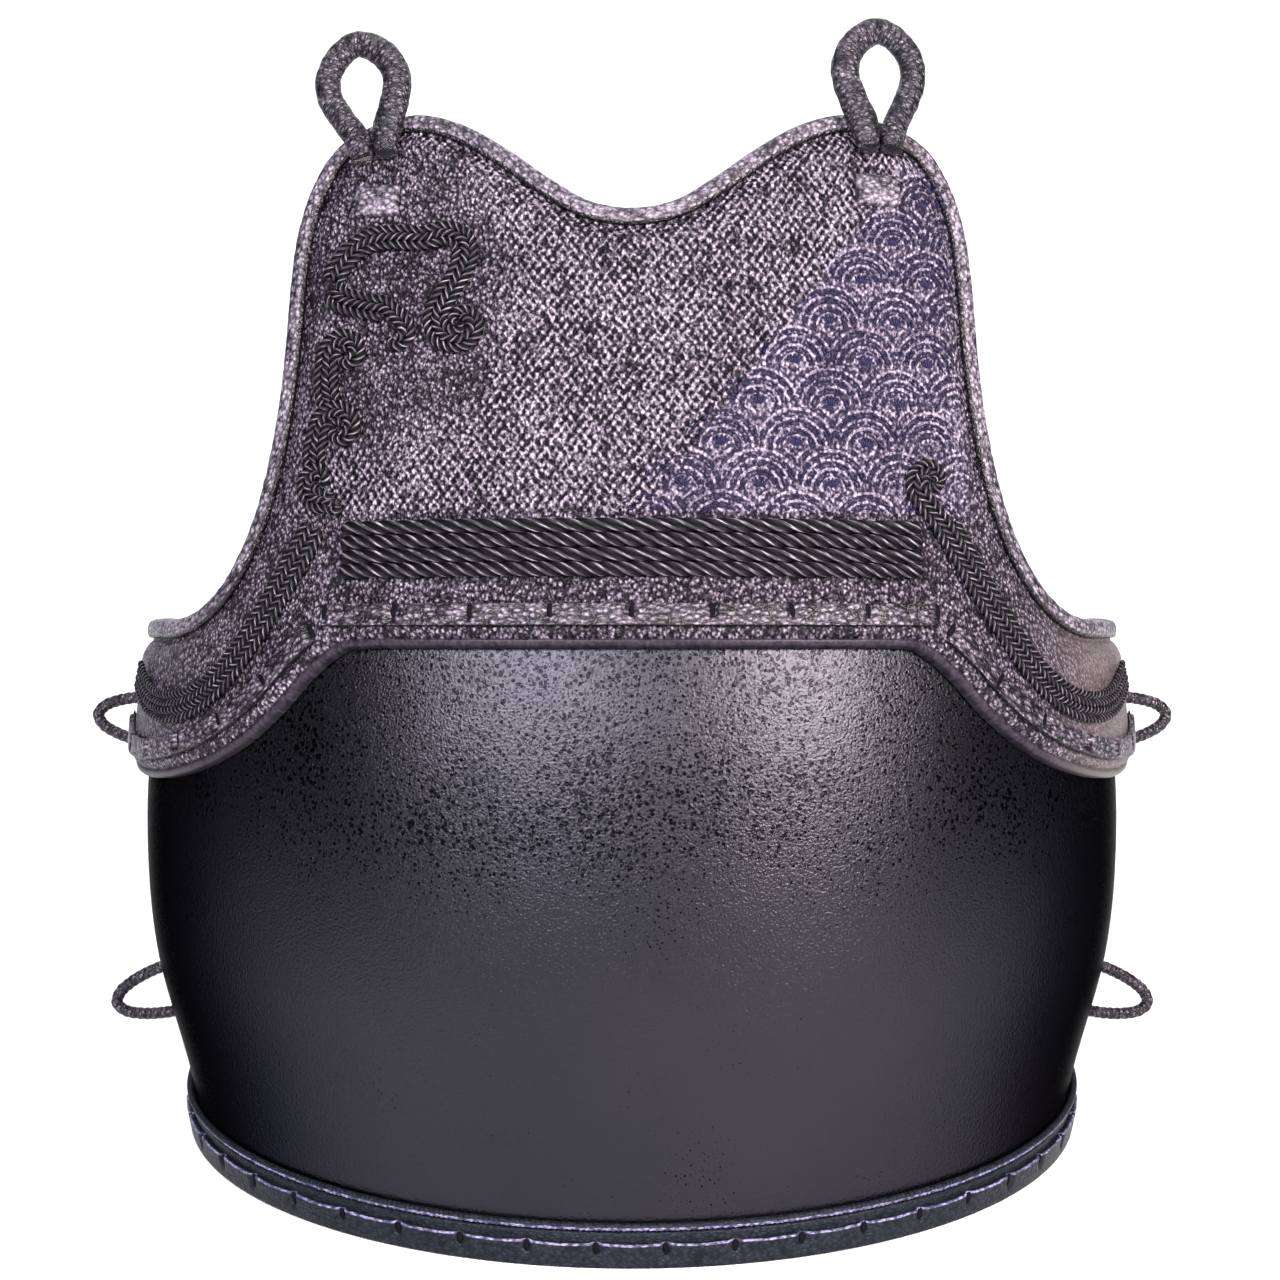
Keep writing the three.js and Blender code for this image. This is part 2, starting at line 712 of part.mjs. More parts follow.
function buildShoulderLoop(loop) {
  const { point, round, rise, out } = formFrame(loop.turn, loop.foot * shoulderHeight);
  const seat = trimBase + shoulderLoopCord / 2;
  const up = rise.normalize().applyAxisAngle(out, -radians(loop.lean));
  const side = round.normalize().applyAxisAngle(out, -radians(loop.lean));
  const downwards = teardrop.slice(0, -1).reverse().map((row) => ({ up: row.up, side: -row.side }));
  const points = [...teardrop, ...downwards].map((row) => point.clone().addScaledVector(out, seat)
    .addScaledVector(up, row.up * shoulderLoopHeight)
    .addScaledVector(side, row.side * shoulderLoopWidth / 2));
  const cord = cordAlong(points, shoulderLoopCord, shoulderLoopSteps, shoulderLoopSides);
  addPiece(`shoulder_loop_${loop.side}`, cord, trimLeather);
}

function buildKeeper(loop) {
  const keeper = new THREE.BoxGeometry(keeperWidth, keeperLength, keeperThickness, 3, 1, 1);
  const middle = { turn: loop.turn, height: loop.keeper * shoulderHeight };
  const { round, rise } = formFrame(middle.turn, middle.height);
  const across = round.normalize();
  const up = rise.normalize();
  addPiece(`loop_keeper_${loop.side}`, bent(keeper, (x, y, z) => {
    const place = slide(middle, across.clone().multiplyScalar(x).addScaledVector(up, y));
    return onForm(place.turn, place.height, trimBase + keeperThickness / 2 + z);
  }), trimLeather);
}

function buildSideLoop(name, height, side) {
  const { point, rise, out } = formFrame(side * sideLoopTurn, height);
  const up = rise.normalize();
  const count = sideLoopSteps / 2;
  const points = Array.from({ length: count + 1 }, (_, i) => {
    const angle = Math.PI * i / count;
    return point.clone().addScaledVector(out, fitGap + Math.sin(angle) * sideLoopReach)
      .addScaledVector(up, Math.cos(angle) * sideLoopHeight / 2);
  });
  addPiece(name, cordAlong(points, sideLoopCord, sideLoopSteps, sideLoopSides), trimLeather);
}

buildShell();
buildRim();
buildPlate();
buildEdgeBinding();
buildThongs();
buildBraids();
buildWingCords();
buildCloud();
shoulderLoops.forEach(buildShoulderLoop);
shoulderLoops.forEach(buildKeeper);
sideLoops.forEach((loop) => {
  buildSideLoop(`${loop.name}_left`, loop.up * shoulderHeight, -1);
  buildSideLoop(`${loop.name}_right`, loop.up * shoulderHeight, 1);
});

// Stand it on its rim, with the origin under the middle of the whole
upright.rotation.x = -radians(leanAngle);
const part = new THREE.Group();
part.add(upright);
const box = new THREE.Box3().setFromObject(part, true);
const centre = box.getCenter(new THREE.Vector3());
upright.position.set(-centre.x, -centre.y, -box.min.z);

export default part;
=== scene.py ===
from collections import namedtuple
from functools import lru_cache
from math import cos, exp, floor, pi, radians, sin

import bmesh
import bpy
from mathutils import Matrix, Vector, noise


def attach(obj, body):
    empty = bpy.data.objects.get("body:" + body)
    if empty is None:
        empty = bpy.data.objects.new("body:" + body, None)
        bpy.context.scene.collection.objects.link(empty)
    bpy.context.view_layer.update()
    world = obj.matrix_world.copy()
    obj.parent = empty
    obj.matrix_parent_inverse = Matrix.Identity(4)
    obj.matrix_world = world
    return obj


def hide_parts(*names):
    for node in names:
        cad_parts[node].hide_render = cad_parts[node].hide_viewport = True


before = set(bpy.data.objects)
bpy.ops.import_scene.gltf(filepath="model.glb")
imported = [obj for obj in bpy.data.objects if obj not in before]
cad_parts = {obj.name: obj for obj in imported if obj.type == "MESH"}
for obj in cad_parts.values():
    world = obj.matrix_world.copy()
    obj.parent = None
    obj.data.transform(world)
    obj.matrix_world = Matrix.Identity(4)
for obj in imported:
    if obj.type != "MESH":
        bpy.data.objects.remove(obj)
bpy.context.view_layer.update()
mm = 0.001

# The form that everything lies on, with the same values as the CAD source. A place is a
# turn round from the middle of the front in degrees and a height up the form in metres.
form = {
    "width": 0.4, "depth": 0.172, "shoulder": 0.4285, "neck": 0.389, "border": 0.2245,
    "wingTop": 0.2365, "wingDrop": 0.0515, "backTurn": 104, "lean": 11.7,
    "ontoFloor": (0, 0.036686, -0.031636),
    "shell": 5 * mm, "plate": 6.2 * mm, "seat": 0.55 * mm, "gap": 0.3 * mm,
    "girth": [  # up, wide, deep, back
        (0, 0.855, 0.907, 0), (0.12, 0.91, 0.955, 0), (0.24, 0.98, 0.99, 0), (0.36, 1, 1, 0),
        (0.48, 0.984, 0.982, 0), (0.6, 0.953, 0.931, -0.001), (0.72, 0.95, 0.843, -0.015),
        (0.84, 0.95, 0.746, -0.029), (0.96, 0.95, 0.643, -0.011), (1.06, 0.95, 0.56, 0.014),
    ],
}
trimBase = form["plate"] + 2 * form["seat"]  # what lies on the plate starts here
leaning = Matrix.Rotation(-radians(form["lean"]), 3, "X")
ontoFloor = Vector(form["ontoFloor"])
degreeLength = pi * form["depth"] / 180

Frame = namedtuple("Frame", "point along across out at share turn height")


def mix(a, b, t):
    return a + (b - a) * t


def clamp(value, low=0.0, high=1.0):
    return max(low, min(high, value))


def ease(low, high, value):
    t = clamp((value - low) / (high - low))
    return t * t * (3 - 2 * t)


def hump(distance, reach):
    return exp(-(distance / reach) ** 2)


def smoothRow(rows, at):  # the other columns of a table, at a value of its first one
    last = len(rows) - 1
    i = 0
    while i < last - 1 and at > rows[i + 1][0]:
        i += 1
    span = rows[i + 1][0] - rows[i][0]
    t = (at - rows[i][0]) / span

    def slope(k, column):
        before, after = rows[max(k - 1, 0)], rows[min(k + 1, last)]
        return (after[column] - before[column]) / (after[0] - before[0])

    values = []
    for column in range(1, len(rows[0])):
        value = mix(rows[i][column], rows[i + 1][column], t * t * (3 - 2 * t))
        value += t * (1 - t) * span * ((1 - t) * slope(i, column) - t * slope(i + 1, column))
        values.append(value)
    return values


@lru_cache(maxsize=None)
def girthAt(height):
    wide, deep, back = smoothRow(form["girth"], height / form["shoulder"])
    return wide * form["width"] / 2, deep * form["depth"], back * form["depth"]


def formPoint(turn, height):
    wide, deep, back = girthAt(height)
    angle = radians(turn)
    return leaning @ Vector((wide * sin(angle), back - deep * cos(angle), height)) + ontoFloor


def formFrame(turn, height):  # point, move for a degree, move for a metre up, way out
    height = round(height, 6)
    step = 0.00002
    sideways = (formPoint(turn + 0.05, height) - formPoint(turn - 0.05, height)) * 10
    rise = (formPoint(turn, height + step) - formPoint(turn, height - step)) / (2 * step)
    return formPoint(turn, height), sideways, rise, sideways.cross(rise).normalized()


def onForm(turn, height, distance):
    point, _, _, out = formFrame(turn, height)
    return point + out * distance


def slide(turn, height, move):  # the place that a move over the surface leads to
    _, sideways, rise, _ = formFrame(turn, height)
    a, b, c = sideways.dot(sideways), sideways.dot(rise), rise.dot(rise)
    s, u = sideways.dot(move), rise.dot(move)
    area = a * c - b * b
    return turn + (s * c - u * b) / area, height + (u * a - s * b) / area


def beside(turn, height, across, up):  # the place so far to the right and up of another
    _, sideways, rise, _ = formFrame(turn, height)
    return slide(turn, height, sideways.normalized() * across + rise.normalized() * up)


def smoothCurve(points):  # centripetal curve through points, by share of their count
    ends = [2 * points[0] - points[1], 2 * points[-1] - points[-2]]
    padded = [ends[0], *points, ends[1]]

    def at(share):
        place = clamp(share) * (len(points) - 1)
        i = min(floor(place), len(points) - 2)
        t = place - i
        p = padded[i:i + 4]
        gaps = [max((p[k + 1] - p[k]).length, 1e-9) ** 0.5 for k in range(3)]
        start = (p[1] - p[0]) / gaps[0] - (p[2] - p[0]) / (gaps[0] + gaps[1]) + (p[2] - p[1]) / gaps[1]
        end = (p[2] - p[1]) / gaps[1] - (p[3] - p[1]) / (gaps[1] + gaps[2]) + (p[3] - p[2]) / gaps[2]
        start, end = start * gaps[1], end * gaps[1]
        return (p[1] + start * t + (3 * (p[2] - p[1]) - 2 * start - end) * t ** 2
                + (2 * (p[1] - p[2]) + start + end) * t ** 3)

    return at


def placesLine(places):  # smooth line over the form through (turn, height) places
    curve = smoothCurve([Vector((turn * degreeLength, height)) for turn, height in places])

    def at(share):
        place = curve(share)
        return place.x / degreeLength, place.y

    return at


def frameAt(line, share, at=0.0, shown=0.0, nudge=0.0006):
    turn, height = line(share)
    point, _, _, out = formFrame(turn, height)
    along = formPoint(*line(clamp(share + nudge))) - formPoint(*line(clamp(share - nudge)))
    along = (along - out * along.dot(out)).normalized()
    return Frame(point, along, out.cross(along), out, at, shown, turn, height)


def distances(points):  # how far along a line of points each of them is
    run = [0.0]
    for before, after in zip(points, points[1:]):
        run.append(run[-1] + (after - before).length)
    return run


def evenSteps(points, step):  # even steps along it: piece, share of the piece, distance, share
    run = distances(points)
    count = max(2, round(run[-1] / step))
    k = 0
    for i in range(count + 1):
        at = run[-1] * i / count
        while k < len(points) - 2 and run[k + 1] < at:
            k += 1
        yield k, clamp((at - run[k]) / max(run[k + 1] - run[k], 1e-9)), at, i / count


def route(line, step, start=0.0, end=1.0, samples=300):  # even frames along a line on the form
    shares = [mix(start, end, k / samples) for k in range(samples + 1)]
    points = [formPoint(*line(share)) for share in shares]
    return [frameAt(line, mix(shares[k], shares[k + 1], part), at, shown)
            for k, part, at, shown in evenSteps(points, step)]


def tubeFrames(points, step, way):  # even frames of a curve in space, kept square to a direction
    curve = smoothCurve(points)
    samples = [curve(k / 400) for k in range(401)]
    frames = []
    for k, part, at, shown in evenSteps(samples, step):
        along = (samples[k + 1] - samples[k]).normalized()
        out = (way - along * way.dot(along)).normalized()
        point = samples[k].lerp(samples[k + 1], part)
        frames.append(Frame(point, along, out.cross(along), out, at, shown, 0, 0))
    return frames


# The plate's ribs from its lower border to its upper edge:
# top turn, neckline dip, armhole drop, low turn, hang
ribs = [
    (0, 1, 0, 0, 0), (4.5, 0.93, 0, 4, 0), (9, 0.7, 0, 7.5, 0), (14, 0.39, 0, 11, 0),
    (19.5, 0.12, 0, 14, 0), (25, 0, 0, 17, 0), (31, 0, 0.018, 19.5, 0), (36, 0, 0.06, 22, 0),
    (39.3, 0, 0.129, 24, 0), (41.6, 0, 0.225, 26, 0), (42.6, 0, 0.33, 28, 0),
    (43.1, 0, 0.453, 30, 0.003), (44, 0, 0.58, 32, 0.015), (45.4, 0, 0.69, 34.2, 0.09),
    (47.4, 0, 0.785, 37, 0.23), (50, 0, 0.865, 41, 0.47), (53.5, 0, 0.935, 46, 0.69),
    (58, 0, 0.98, 52, 0.85), (64, 0, 1, 58.5, 0.945), (71, 0, 1, 65.5, 0.99),
    (79, 0, 1, 73, 0.99), (87, 0, 1, 81.5, 0.9), (94, 0, 1, 90, 0.62),
]


def edgeLine(places):
    return placesLine([(-turn, height) for turn, height in reversed(places[1:])] + places)


upperEdge = edgeLine([
    (top, form["shoulder"] - dip * (form["shoulder"] - form["neck"])
     - drop * (form["shoulder"] - form["wingTop"])) for top, dip, drop, _, _ in ribs
])
lowerEdge = edgeLine([(low, form["border"] - hang * form["wingDrop"]) for _, _, _, low, hang in ribs])


def insetLine(edge, inset):  # keeps its distance from an edge of the plate
    def at(share):
        edgeFrame = frameAt(edge, share, nudge=0.0005)
        return slide(edgeFrame.turn, edgeFrame.height, edgeFrame.across * inset)
    return at


def shareOfTurn(edge, turn):
    low, high = 0.5, 1.0
    for _ in range(24):
        middle = (low + high) / 2
        low, high = (middle, high) if edge(middle)[0] < turn else (low, middle)
    return low


# Meshes
def newMesh():
    mesh = bmesh.new()
    mesh.loops.layers.uv.new("UVMap")
    return mesh


def addSweep(mesh, frames, sides, place, girth=0.02, uvOf=None, insetOf=None):  # closed body
    inset = mesh.verts.layers.float.new("inset") if insetOf else None
    uv = mesh.loops.layers.uv.active
    last = len(frames) - 1
    made = bmesh.ops.create_grid(mesh, x_segments=last, y_segments=sides, size=0.5)["verts"]

    def spot(vert):  # frame and side of a vertex, while the grid is flat
        return frames[round((vert.co.x + 0.5) * last)], round((vert.co.y + 0.5) * sides)

    for face in {face for vert in made for face in vert.link_faces}:
        for loop in face.loops:
            f, k = spot(loop.vert)
            loop[uv].uv = uvOf(f, k) if uvOf else (f.at, k / sides * girth)
    for vert in made:
        f, k = spot(vert)
        if insetOf:
            vert[inset] = insetOf(k)
        vert.co = place(f, k)
    bmesh.ops.remove_doubles(mesh, verts=made, dist=1e-6)
    bmesh.ops.holes_fill(mesh, edges=[edge for edge in mesh.edges if edge.is_boundary], sides=0)


def addSection(mesh, frames, section, shape):  # sweep of a closed outline, UV in metres
    run = distances(section)
    addSweep(mesh, frames, len(section) - 1, lambda f, k: shape(f, *section[k]),
             uvOf=lambda f, k: (f.at, run[k]))


def addLens(mesh, f, lift, wide, long, deep):  # flat oval lying across a frame
    ball = bmesh.ops.create_icosphere(mesh, subdivisions=2, radius=0.5)["verts"]
    for vert in ball:
        x, y, z = vert.co
        vert.co = f.point + f.along * x * wide + f.across * y * long + f.out * (lift + z * deep)


def addObject(name, mesh, material):
    bmesh.ops.recalc_face_normals(mesh, faces=mesh.faces)
    data = bpy.data.meshes.new(name)
    mesh.to_mesh(data)
    mesh.free()
    data.materials.append(material)
    data.shade_smooth()
    made = bpy.data.objects.new(name, data)
    bpy.context.collection.objects.link(made)
    return made


def finishPiece(name, mesh, material, node=None, sharp=60):
    first, *rest = name.split("_")
    piece = addObject(first + "".join(word.title() for word in rest), mesh, material)
    piece.data.set_sharp_from_angle(angle=radians(sharp))
    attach(piece, "root")
    if node != "":  # a piece of its own replaces none
        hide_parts(node or name)
    print(piece.name, sum(len(face.vertices) - 2 for face in piece.data.polygons), "triangles")
    return piece


# Materials
class Wire:  # a node's output, with arithmetic on its values
    def __init__(self, shade, socket):
        self.shade, self.socket = shade, socket

    def __add__(self, other):
        return self.shade.math("ADD", self, other)

    def __sub__(self, other):
        return self.shade.math("SUBTRACT", self, other)

    def __rsub__(self, other):
        return self.shade.math("SUBTRACT", other, self)

    def __mul__(self, other):
        return self.shade.math("MULTIPLY", self, other)

    def __pow__(self, other):
        return self.shade.math("POWER", self, other)

    __radd__, __rmul__ = __add__, __mul__


class Shade:  # a Principled material that is built up by expressions
    def __init__(self, name, uniform):
        self.material = bpy.data.materials.new(name)
        self.material.use_nodes = True
        self.tree = self.material.node_tree
        self.skin = self.tree.nodes["Principled BSDF"]
        for socket, value in uniform.items():
            self.skin.inputs[socket].default_value = value

    def node(self, kind, settings=None, sockets=None, take=0):
        node = self.tree.nodes.new(kind)
        for key, value in (settings or {}).items():
            setattr(node, key, value)
        for key, value in (sockets or {}).items():
            self.feed(node.inputs[key], value)
        return Wire(self, node.outputs[take])

    def feed(self, socket, value):
        if isinstance(value, Wire):
            self.tree.links.new(value.socket, socket)
        else:
            socket.default_value = value

    def math(self, operation, *values):
        return self.node("ShaderNodeMath", {"operation": operation}, dict(enumerate(values)))

    def between(self, low, high, value):  # 0 below low, 1 above high, smooth between
        return self.node("ShaderNodeMapRange", {"interpolation_type": "SMOOTHSTEP"},
                         {"Value": value, "From Min": low, "From Max": high})

    def tint(self, factor, *colors):
        first, second = [(*color, 1) if isinstance(color, tuple) else color for color in colors]
        sockets = {0: factor, 6: first, 7: second}
        return self.node("ShaderNodeMix", {"data_type": "RGBA"}, sockets, take=2)

    def tones(self, stops, value):
        ramp = self.node("ShaderNodeValToRGB", None, {"Fac": value})
        elements = ramp.socket.node.color_ramp.elements
        while len(elements) < len(stops):
            elements.new(0.5)
        for element, (place, color) in zip(elements, stops):
            element.position, element.color = place, (*color, 1)
        return ramp

    def surface(self):
        return self.node("ShaderNodeUVMap", {"uv_map": "UVMap"})

    def solid(self):
        return self.node("ShaderNodeTexCoord", take="Object")

    def axes(self, coordinates):
        apart = self.node("ShaderNodeSeparateXYZ", None, {"Vector": coordinates}).socket.node
        return [Wire(self, socket) for socket in apart.outputs]

    def stretched(self, coordinates, scale, turn=0.0):
        sockets = {"Vector": coordinates, "Scale": scale, "Rotation": (0, 0, radians(turn))}
        return self.node("ShaderNodeMapping", None, sockets)

    def noise(self, coordinates, scale, detail=2.0):
        sockets = {"Vector": coordinates, "Scale": scale, "Detail": detail}
        return self.node("ShaderNodeTexNoise", None, sockets)

    def cells(self, coordinates, scale, feature="F1"):
        sockets = {"Vector": coordinates, "Scale": scale}
        return self.node("ShaderNodeTexVoronoi", {"feature": feature}, sockets, take="Distance")

    def finish(self, color, roughness, height, depth, strength):
        sockets = {"Height": height, "Distance": depth, "Strength": strength}
        bump = self.node("ShaderNodeBump", None, sockets)
        for socket, value in (("Base Color", color), ("Roughness", roughness), ("Normal", bump)):
            self.feed(self.skin.inputs[socket], value)
        return self.material


Leather = namedtuple("Leather", "tones gloss stretch slant grain rough depth strength lift")


def leatherGrain(shade, surface, look):  # pebbles, creases between them and finer grain
    drawn = shade.stretched(surface, (look.stretch, 1, 1), look.slant)
    pebbles = 1 - shade.cells(drawn, look.grain)
    creases = shade.between(0.0, 0.3, shade.cells(drawn, look.grain, "DISTANCE_TO_EDGE"))
    return pebbles, creases, shade.noise(drawn, look.grain * 1.7)


def grainedLeather(name, look, edge=None):  # edge: a band of painted light, where it runs, its reach and how much lighter; below zero it is a painted shadow
    shade = Shade(name, {"Specular IOR Level": look.gloss})
    surface = shade.surface()
    pebbles, creases, fine = leatherGrain(shade, surface, look)
    wander = shade.noise(surface, 60, 3)
    # the grain's tone, lighter on the pebbles and darker between them, is partly real grain and partly
    # painted highlight and painted shade
    grain = pebbles * 0.36 + fine * 0.42 + wander * 0.2 + (look.lift - 0.09)
    tone = grain
    # a painted highlight or painted shadow along one band of the section
    if edge:
        middle, reach, paintedLight = edge
        away = shade.math("ABSOLUTE", shade.axes(surface)[1] - middle)
        tone = grain + (1 - shade.between(reach * 0.5, reach, away)) * paintedLight
    color = shade.tones(look.tones, tone)
    rough = look.rough - grain * 0.1
    return shade.finish(color, rough, creases * 0.5 + grain, look.depth, look.strength)


# Leather tones, from black to near white: partly the grain's own tone, partly painted highlight at the
# light end and painted shade at the dark end
plateTones = [(0.21, (0.002, 0.001, 0.003)), (0.30, (0.007, 0.005, 0.009)), (0.385, (0.036, 0.030, 0.042)),
              (0.46, (0.105, 0.090, 0.120)), (0.535, (0.185, 0.162, 0.205)), (0.64, (0.31, 0.275, 0.335)),
              (0.78, (0.55, 0.50, 0.58))]
trimTones = [(0.20, (0.003, 0.002, 0.004)), (0.30, (0.013, 0.011, 0.016)), (0.385, (0.045, 0.038, 0.052)),
             (0.46, (0.105, 0.092, 0.120)), (0.535, (0.175, 0.155, 0.195)), (0.64, (0.30, 0.27, 0.33)),
             (0.76, (0.52, 0.48, 0.56))]
rimTones = [(0.25, (0.003, 0.004, 0.006)), (0.45, (0.007, 0.009, 0.013)), (0.70, (0.016, 0.019, 0.028)),
            (0.85, (0.045, 0.045, 0.08)), (1.0, (0.20, 0.18, 0.31))]
loopTones = [(0.24, (0.002, 0.002, 0.003)), (0.36, (0.008, 0.007, 0.011)), (0.47, (0.034, 0.028, 0.039)),
             (0.57, (0.10, 0.085, 0.11)), (0.70, (0.32, 0.28, 0.34))]
leatherLook = {
    "plate": Leather(plateTones, 0.13, 1.2, 25, 520, 0.4, 0.0011, 1, -0.05),
    "trim": Leather(trimTones, 0.3, 0.8, 12, 560, 0.36, 0.0006, 0.8, 0),
    "thong": Leather(plateTones, 0.25, 0.7, 0, 560, 0.36, 0.0006, 0.8, -0.06),
    "rim": Leather(rimTones, 0.07, 0.7, 5, 700, 0.45, 0.0004, 0.6, 0),
    "loop": Leather(loopTones, 0.25, 1.5, 35, 440, 0.3, 0.0008, 0.8, 0),
}
# a painted shadow along the binding's inner edge
bindingLeather = grainedLeather("bindingLeather", leatherLook["trim"], (0.9 * mm, 2.0 * mm, -0.3))
rimLeather = grainedLeather("rimLeather", leatherLook["rim"])
loopLeather = grainedLeather("loopLeather", leatherLook["loop"])
keeperLeather = grainedLeather("keeperLeather", leatherLook["trim"])
# a painted shadow along the thong's lower edge
thongLeather = grainedLeather("thongLeather", leatherLook["thong"], (19.3 * mm, 1.7 * mm, -0.35))
# a painted highlight along the piping's lower front
pipingLeather = grainedLeather("pipingLeather", leatherLook["rim"], (3.2 * mm, 1.3 * mm, 0.5))
# a painted highlight along the rim thong's top edge
edgedLeather = grainedLeather("edgedLeather", leatherLook["rim"], (10.9 * mm, 0.9 * mm, 0.5))

lacquerLook = {
    "black": (0.0165, 0.0185, 0.0235), "veil": (0.030, 0.0275, 0.033), "spot": (0.003, 0.003, 0.004),
    "rough": 0.28, "depth": 0.0009, "upper": (0.10, 0.165),  # heights between which the specks grow bigger towards the top, painted light: the even texture shows more where the light falls
    "specks": (400, 0.05, 0.26), "dots": (800, 0.08, 0.27), "crowding": 0.45,
}


def speckledLacquer():
    shade = Shade("speckledLacquer", {"Metallic": 1, "Specular Tint": (0, 0, 0, 1)})
    place = shade.solid()
    ragged, crowd = shade.noise(place, 900), shade.noise(place, 24)
    upper = shade.between(*lacquerLook["upper"], shade.axes(place)[2])

    def spots(scale, least, more):  # least: their size, more: what painted light adds in the upper half, where the specks show more
        size = upper * more + (crowd - 0.5) * lacquerLook["crowding"] + least
        away = shade.cells(place, scale) + ragged * 0.3 - 0.15
        return 1 - shade.between(size - 0.06, size, away)

    speck, dots = spots(*lacquerLook["specks"]), spots(*lacquerLook["dots"])
    peel = shade.noise(place, 1000)
    raised = shade.math("MAXIMUM", speck, dots * 0.6)
    color = shade.tint(shade.noise(place, 9, 3), lacquerLook["black"], lacquerLook["veil"])
    color = shade.tint(raised * 0.85, color, lacquerLook["spot"])
    roughness = lacquerLook["rough"] + peel * 0.08 - raised * 0.1
    return shade.finish(color, roughness, raised + peel * 0.3, lacquerLook["depth"], 0.9)


# Cord colours: black in the grooves as painted shade, a lighter colour painted on the strands' crests as
# highlight, and a painted glint on the brightest crests
cordLook = {"black": (0.001, 0.001, 0.0015), "worn": (0.030, 0.026, 0.035), "glint": (0.30, 0.27, 0.33)}


def twistedCord():  # its UV runs over the strands and along them
    shade = Shade("twistedCord", {"Specular IOR Level": 0.06})
    surface = shade.surface()
    strand = shade.math("ABSOLUTE", shade.math("SINE", shade.axes(surface)[0] * pi))
    fibres = shade.noise(shade.stretched(surface, (7, 1.2, 1)), 1)
    # the crests are painted lighter and the brightest get a painted glint, painted highlight; the grooves
    # stay black, painted shade
    rise = strand * 0.75 + fibres * 0.5
    color = shade.tint(shade.between(0.75, 1.1, rise), cordLook["black"], cordLook["worn"])
    color = shade.tint(shade.between(0.97, 1.12, rise) * 0.8, color, cordLook["glint"])
    return shade.finish(color, 0.56 - strand * 0.16, strand * 0.7 + fibres * 0.5, 0.0005, 0.8)


cordMaterial = twistedCord()


def plainSkin(name, dark, light, rough, scale):
    shade = Shade(name, {"Specular IOR Level": 0.05})
    mottle = shade.noise(shade.solid(), scale, 3)
    return shade.finish(shade.tint(mottle, dark, light), rough - mottle * 0.1, mottle, 0.0002, 0.6)


# Dark lenses of painted shade set in the slits where the thongs pass through
slitDark = plainSkin("slitDark", (0.001, 0.001, 0.002), (0.004, 0.003, 0.005), 0.85, 700)
print("materials made")

# Belly shell: one closed wall, its foot inside the rim binding and its top behind the plate
shell = {"columns": 150, "rows": 40, "innerRows": 14, "foot": 2.3 * mm, "overlap": 26 * mm,
         "topStep": 18 * mm, "cornerTurn": 34.6, "levelTurn": 56, "round": 1.2 * mm, "crown": 1.004}


def rimPlace(turn, distance, lift):  # height up the form of a point at a lift over the floor
    height = 0.0
    for _ in range(6):
        height += (lift - onForm(turn, height, distance).z) / cos(radians(form["lean"]))
    return height


def rimFrames(count):
    frames, at, last = [], 0.0, None
    for k in range(count + 1):
        turn = mix(-form["backTurn"], form["backTurn"], k / count)
        height = rimPlace(turn, 0, 0)
        point, _, _, out = formFrame(turn, height)
        at += (point - last).length if last else 0
        last = point
        frames.append(Frame(point, None, None, out, at, k / count, turn, height))
    return frames


def buildBellyShell():
    section = [(0.0, up / shell["rows"]) for up in range(shell["rows"] + 1)]
    section += [(-shell["round"], shell["crown"]), (shell["round"] - form["shell"], shell["crown"])]
    section += [(-form["shell"], 1 - up / shell["innerRows"]) for up in range(shell["innerRows"] + 1)]
    section.append(section[0])
    frames = rimFrames(shell["columns"])
    feet = {(f.turn, out): rimPlace(f.turn, out, shell["foot"]) for f in frames for out, _ in section}

    def place(f, k):
        out, up = section[k]
        top = mix(form["border"] + shell["overlap"], form["wingTop"] - shell["topStep"],
                  ease(shell["cornerTurn"], shell["levelTurn"], abs(f.turn)))
        return onForm(f.turn, mix(feet[f.turn, out], top, up), out)

    mesh = newMesh()
    addSweep(mesh, frames, len(section) - 1, place, 0.5)
    finishPiece("belly_shell", mesh, speckledLacquer(), "do_shell", sharp=45)


buildBellyShell()

# Rim: folded leather, ribbed piping and a laced flat thong, with painted shade in its slits
rim = {
    "length": 0.66, "leather": 2.3 * mm, "sole": 2 * mm, "high": 13.2 * mm, "innerHigh": 11 * mm,
    "piping": 3.2 * mm, "pipingSides": 8, "ribPitch": 1.9 * mm, "ribDeep": 0.2,
    "thongWide": 9 * mm, "thongThick": 2 * mm, "thongLift": 0.5 * mm, "sag": 0.22 * mm,
    "slits": 25, "slitPitch": 26 * mm, "slitLift": 7.64 * mm, "slit": (2.4 * mm, 5 * mm, 1.2 * mm),
    "dive": 2.2 * mm, "diveReach": 1.5 * mm,
}


def roundedSection(corners, rounds, step=1.6 * mm):  # closed outline, each corner cut by its round
    points = []
    for k, corner in enumerate(corners):
        here = Vector(corner)
        sides = [Vector(corners[k - 1]) - here, Vector(corners[(k + 1) % len(corners)]) - here]
        first, last = [here + side.normalized() * min(rounds[k], side.length * 0.45) for side in sides]
        points += [first, (first + last) / 4 + here / 2, last]
    points.append(points[0])
    outline = [points[0]]
    for point in points[1:]:
        pieces = max(1, round((point - outline[-1]).length / step))
        start = outline[-1]
        outline += [start.lerp(point, k / pieces) for k in range(1, pieces + 1)]
    return outline


def sweepRim(mesh, step, section, shape):
    def place(f, lift, out):
        lift, out = shape(f, lift, out)
        return onForm(f.turn, rimPlace(f.turn, out, lift), out)
    addSection(mesh, rimFrames(round(rim["length"] / step)), section, place)


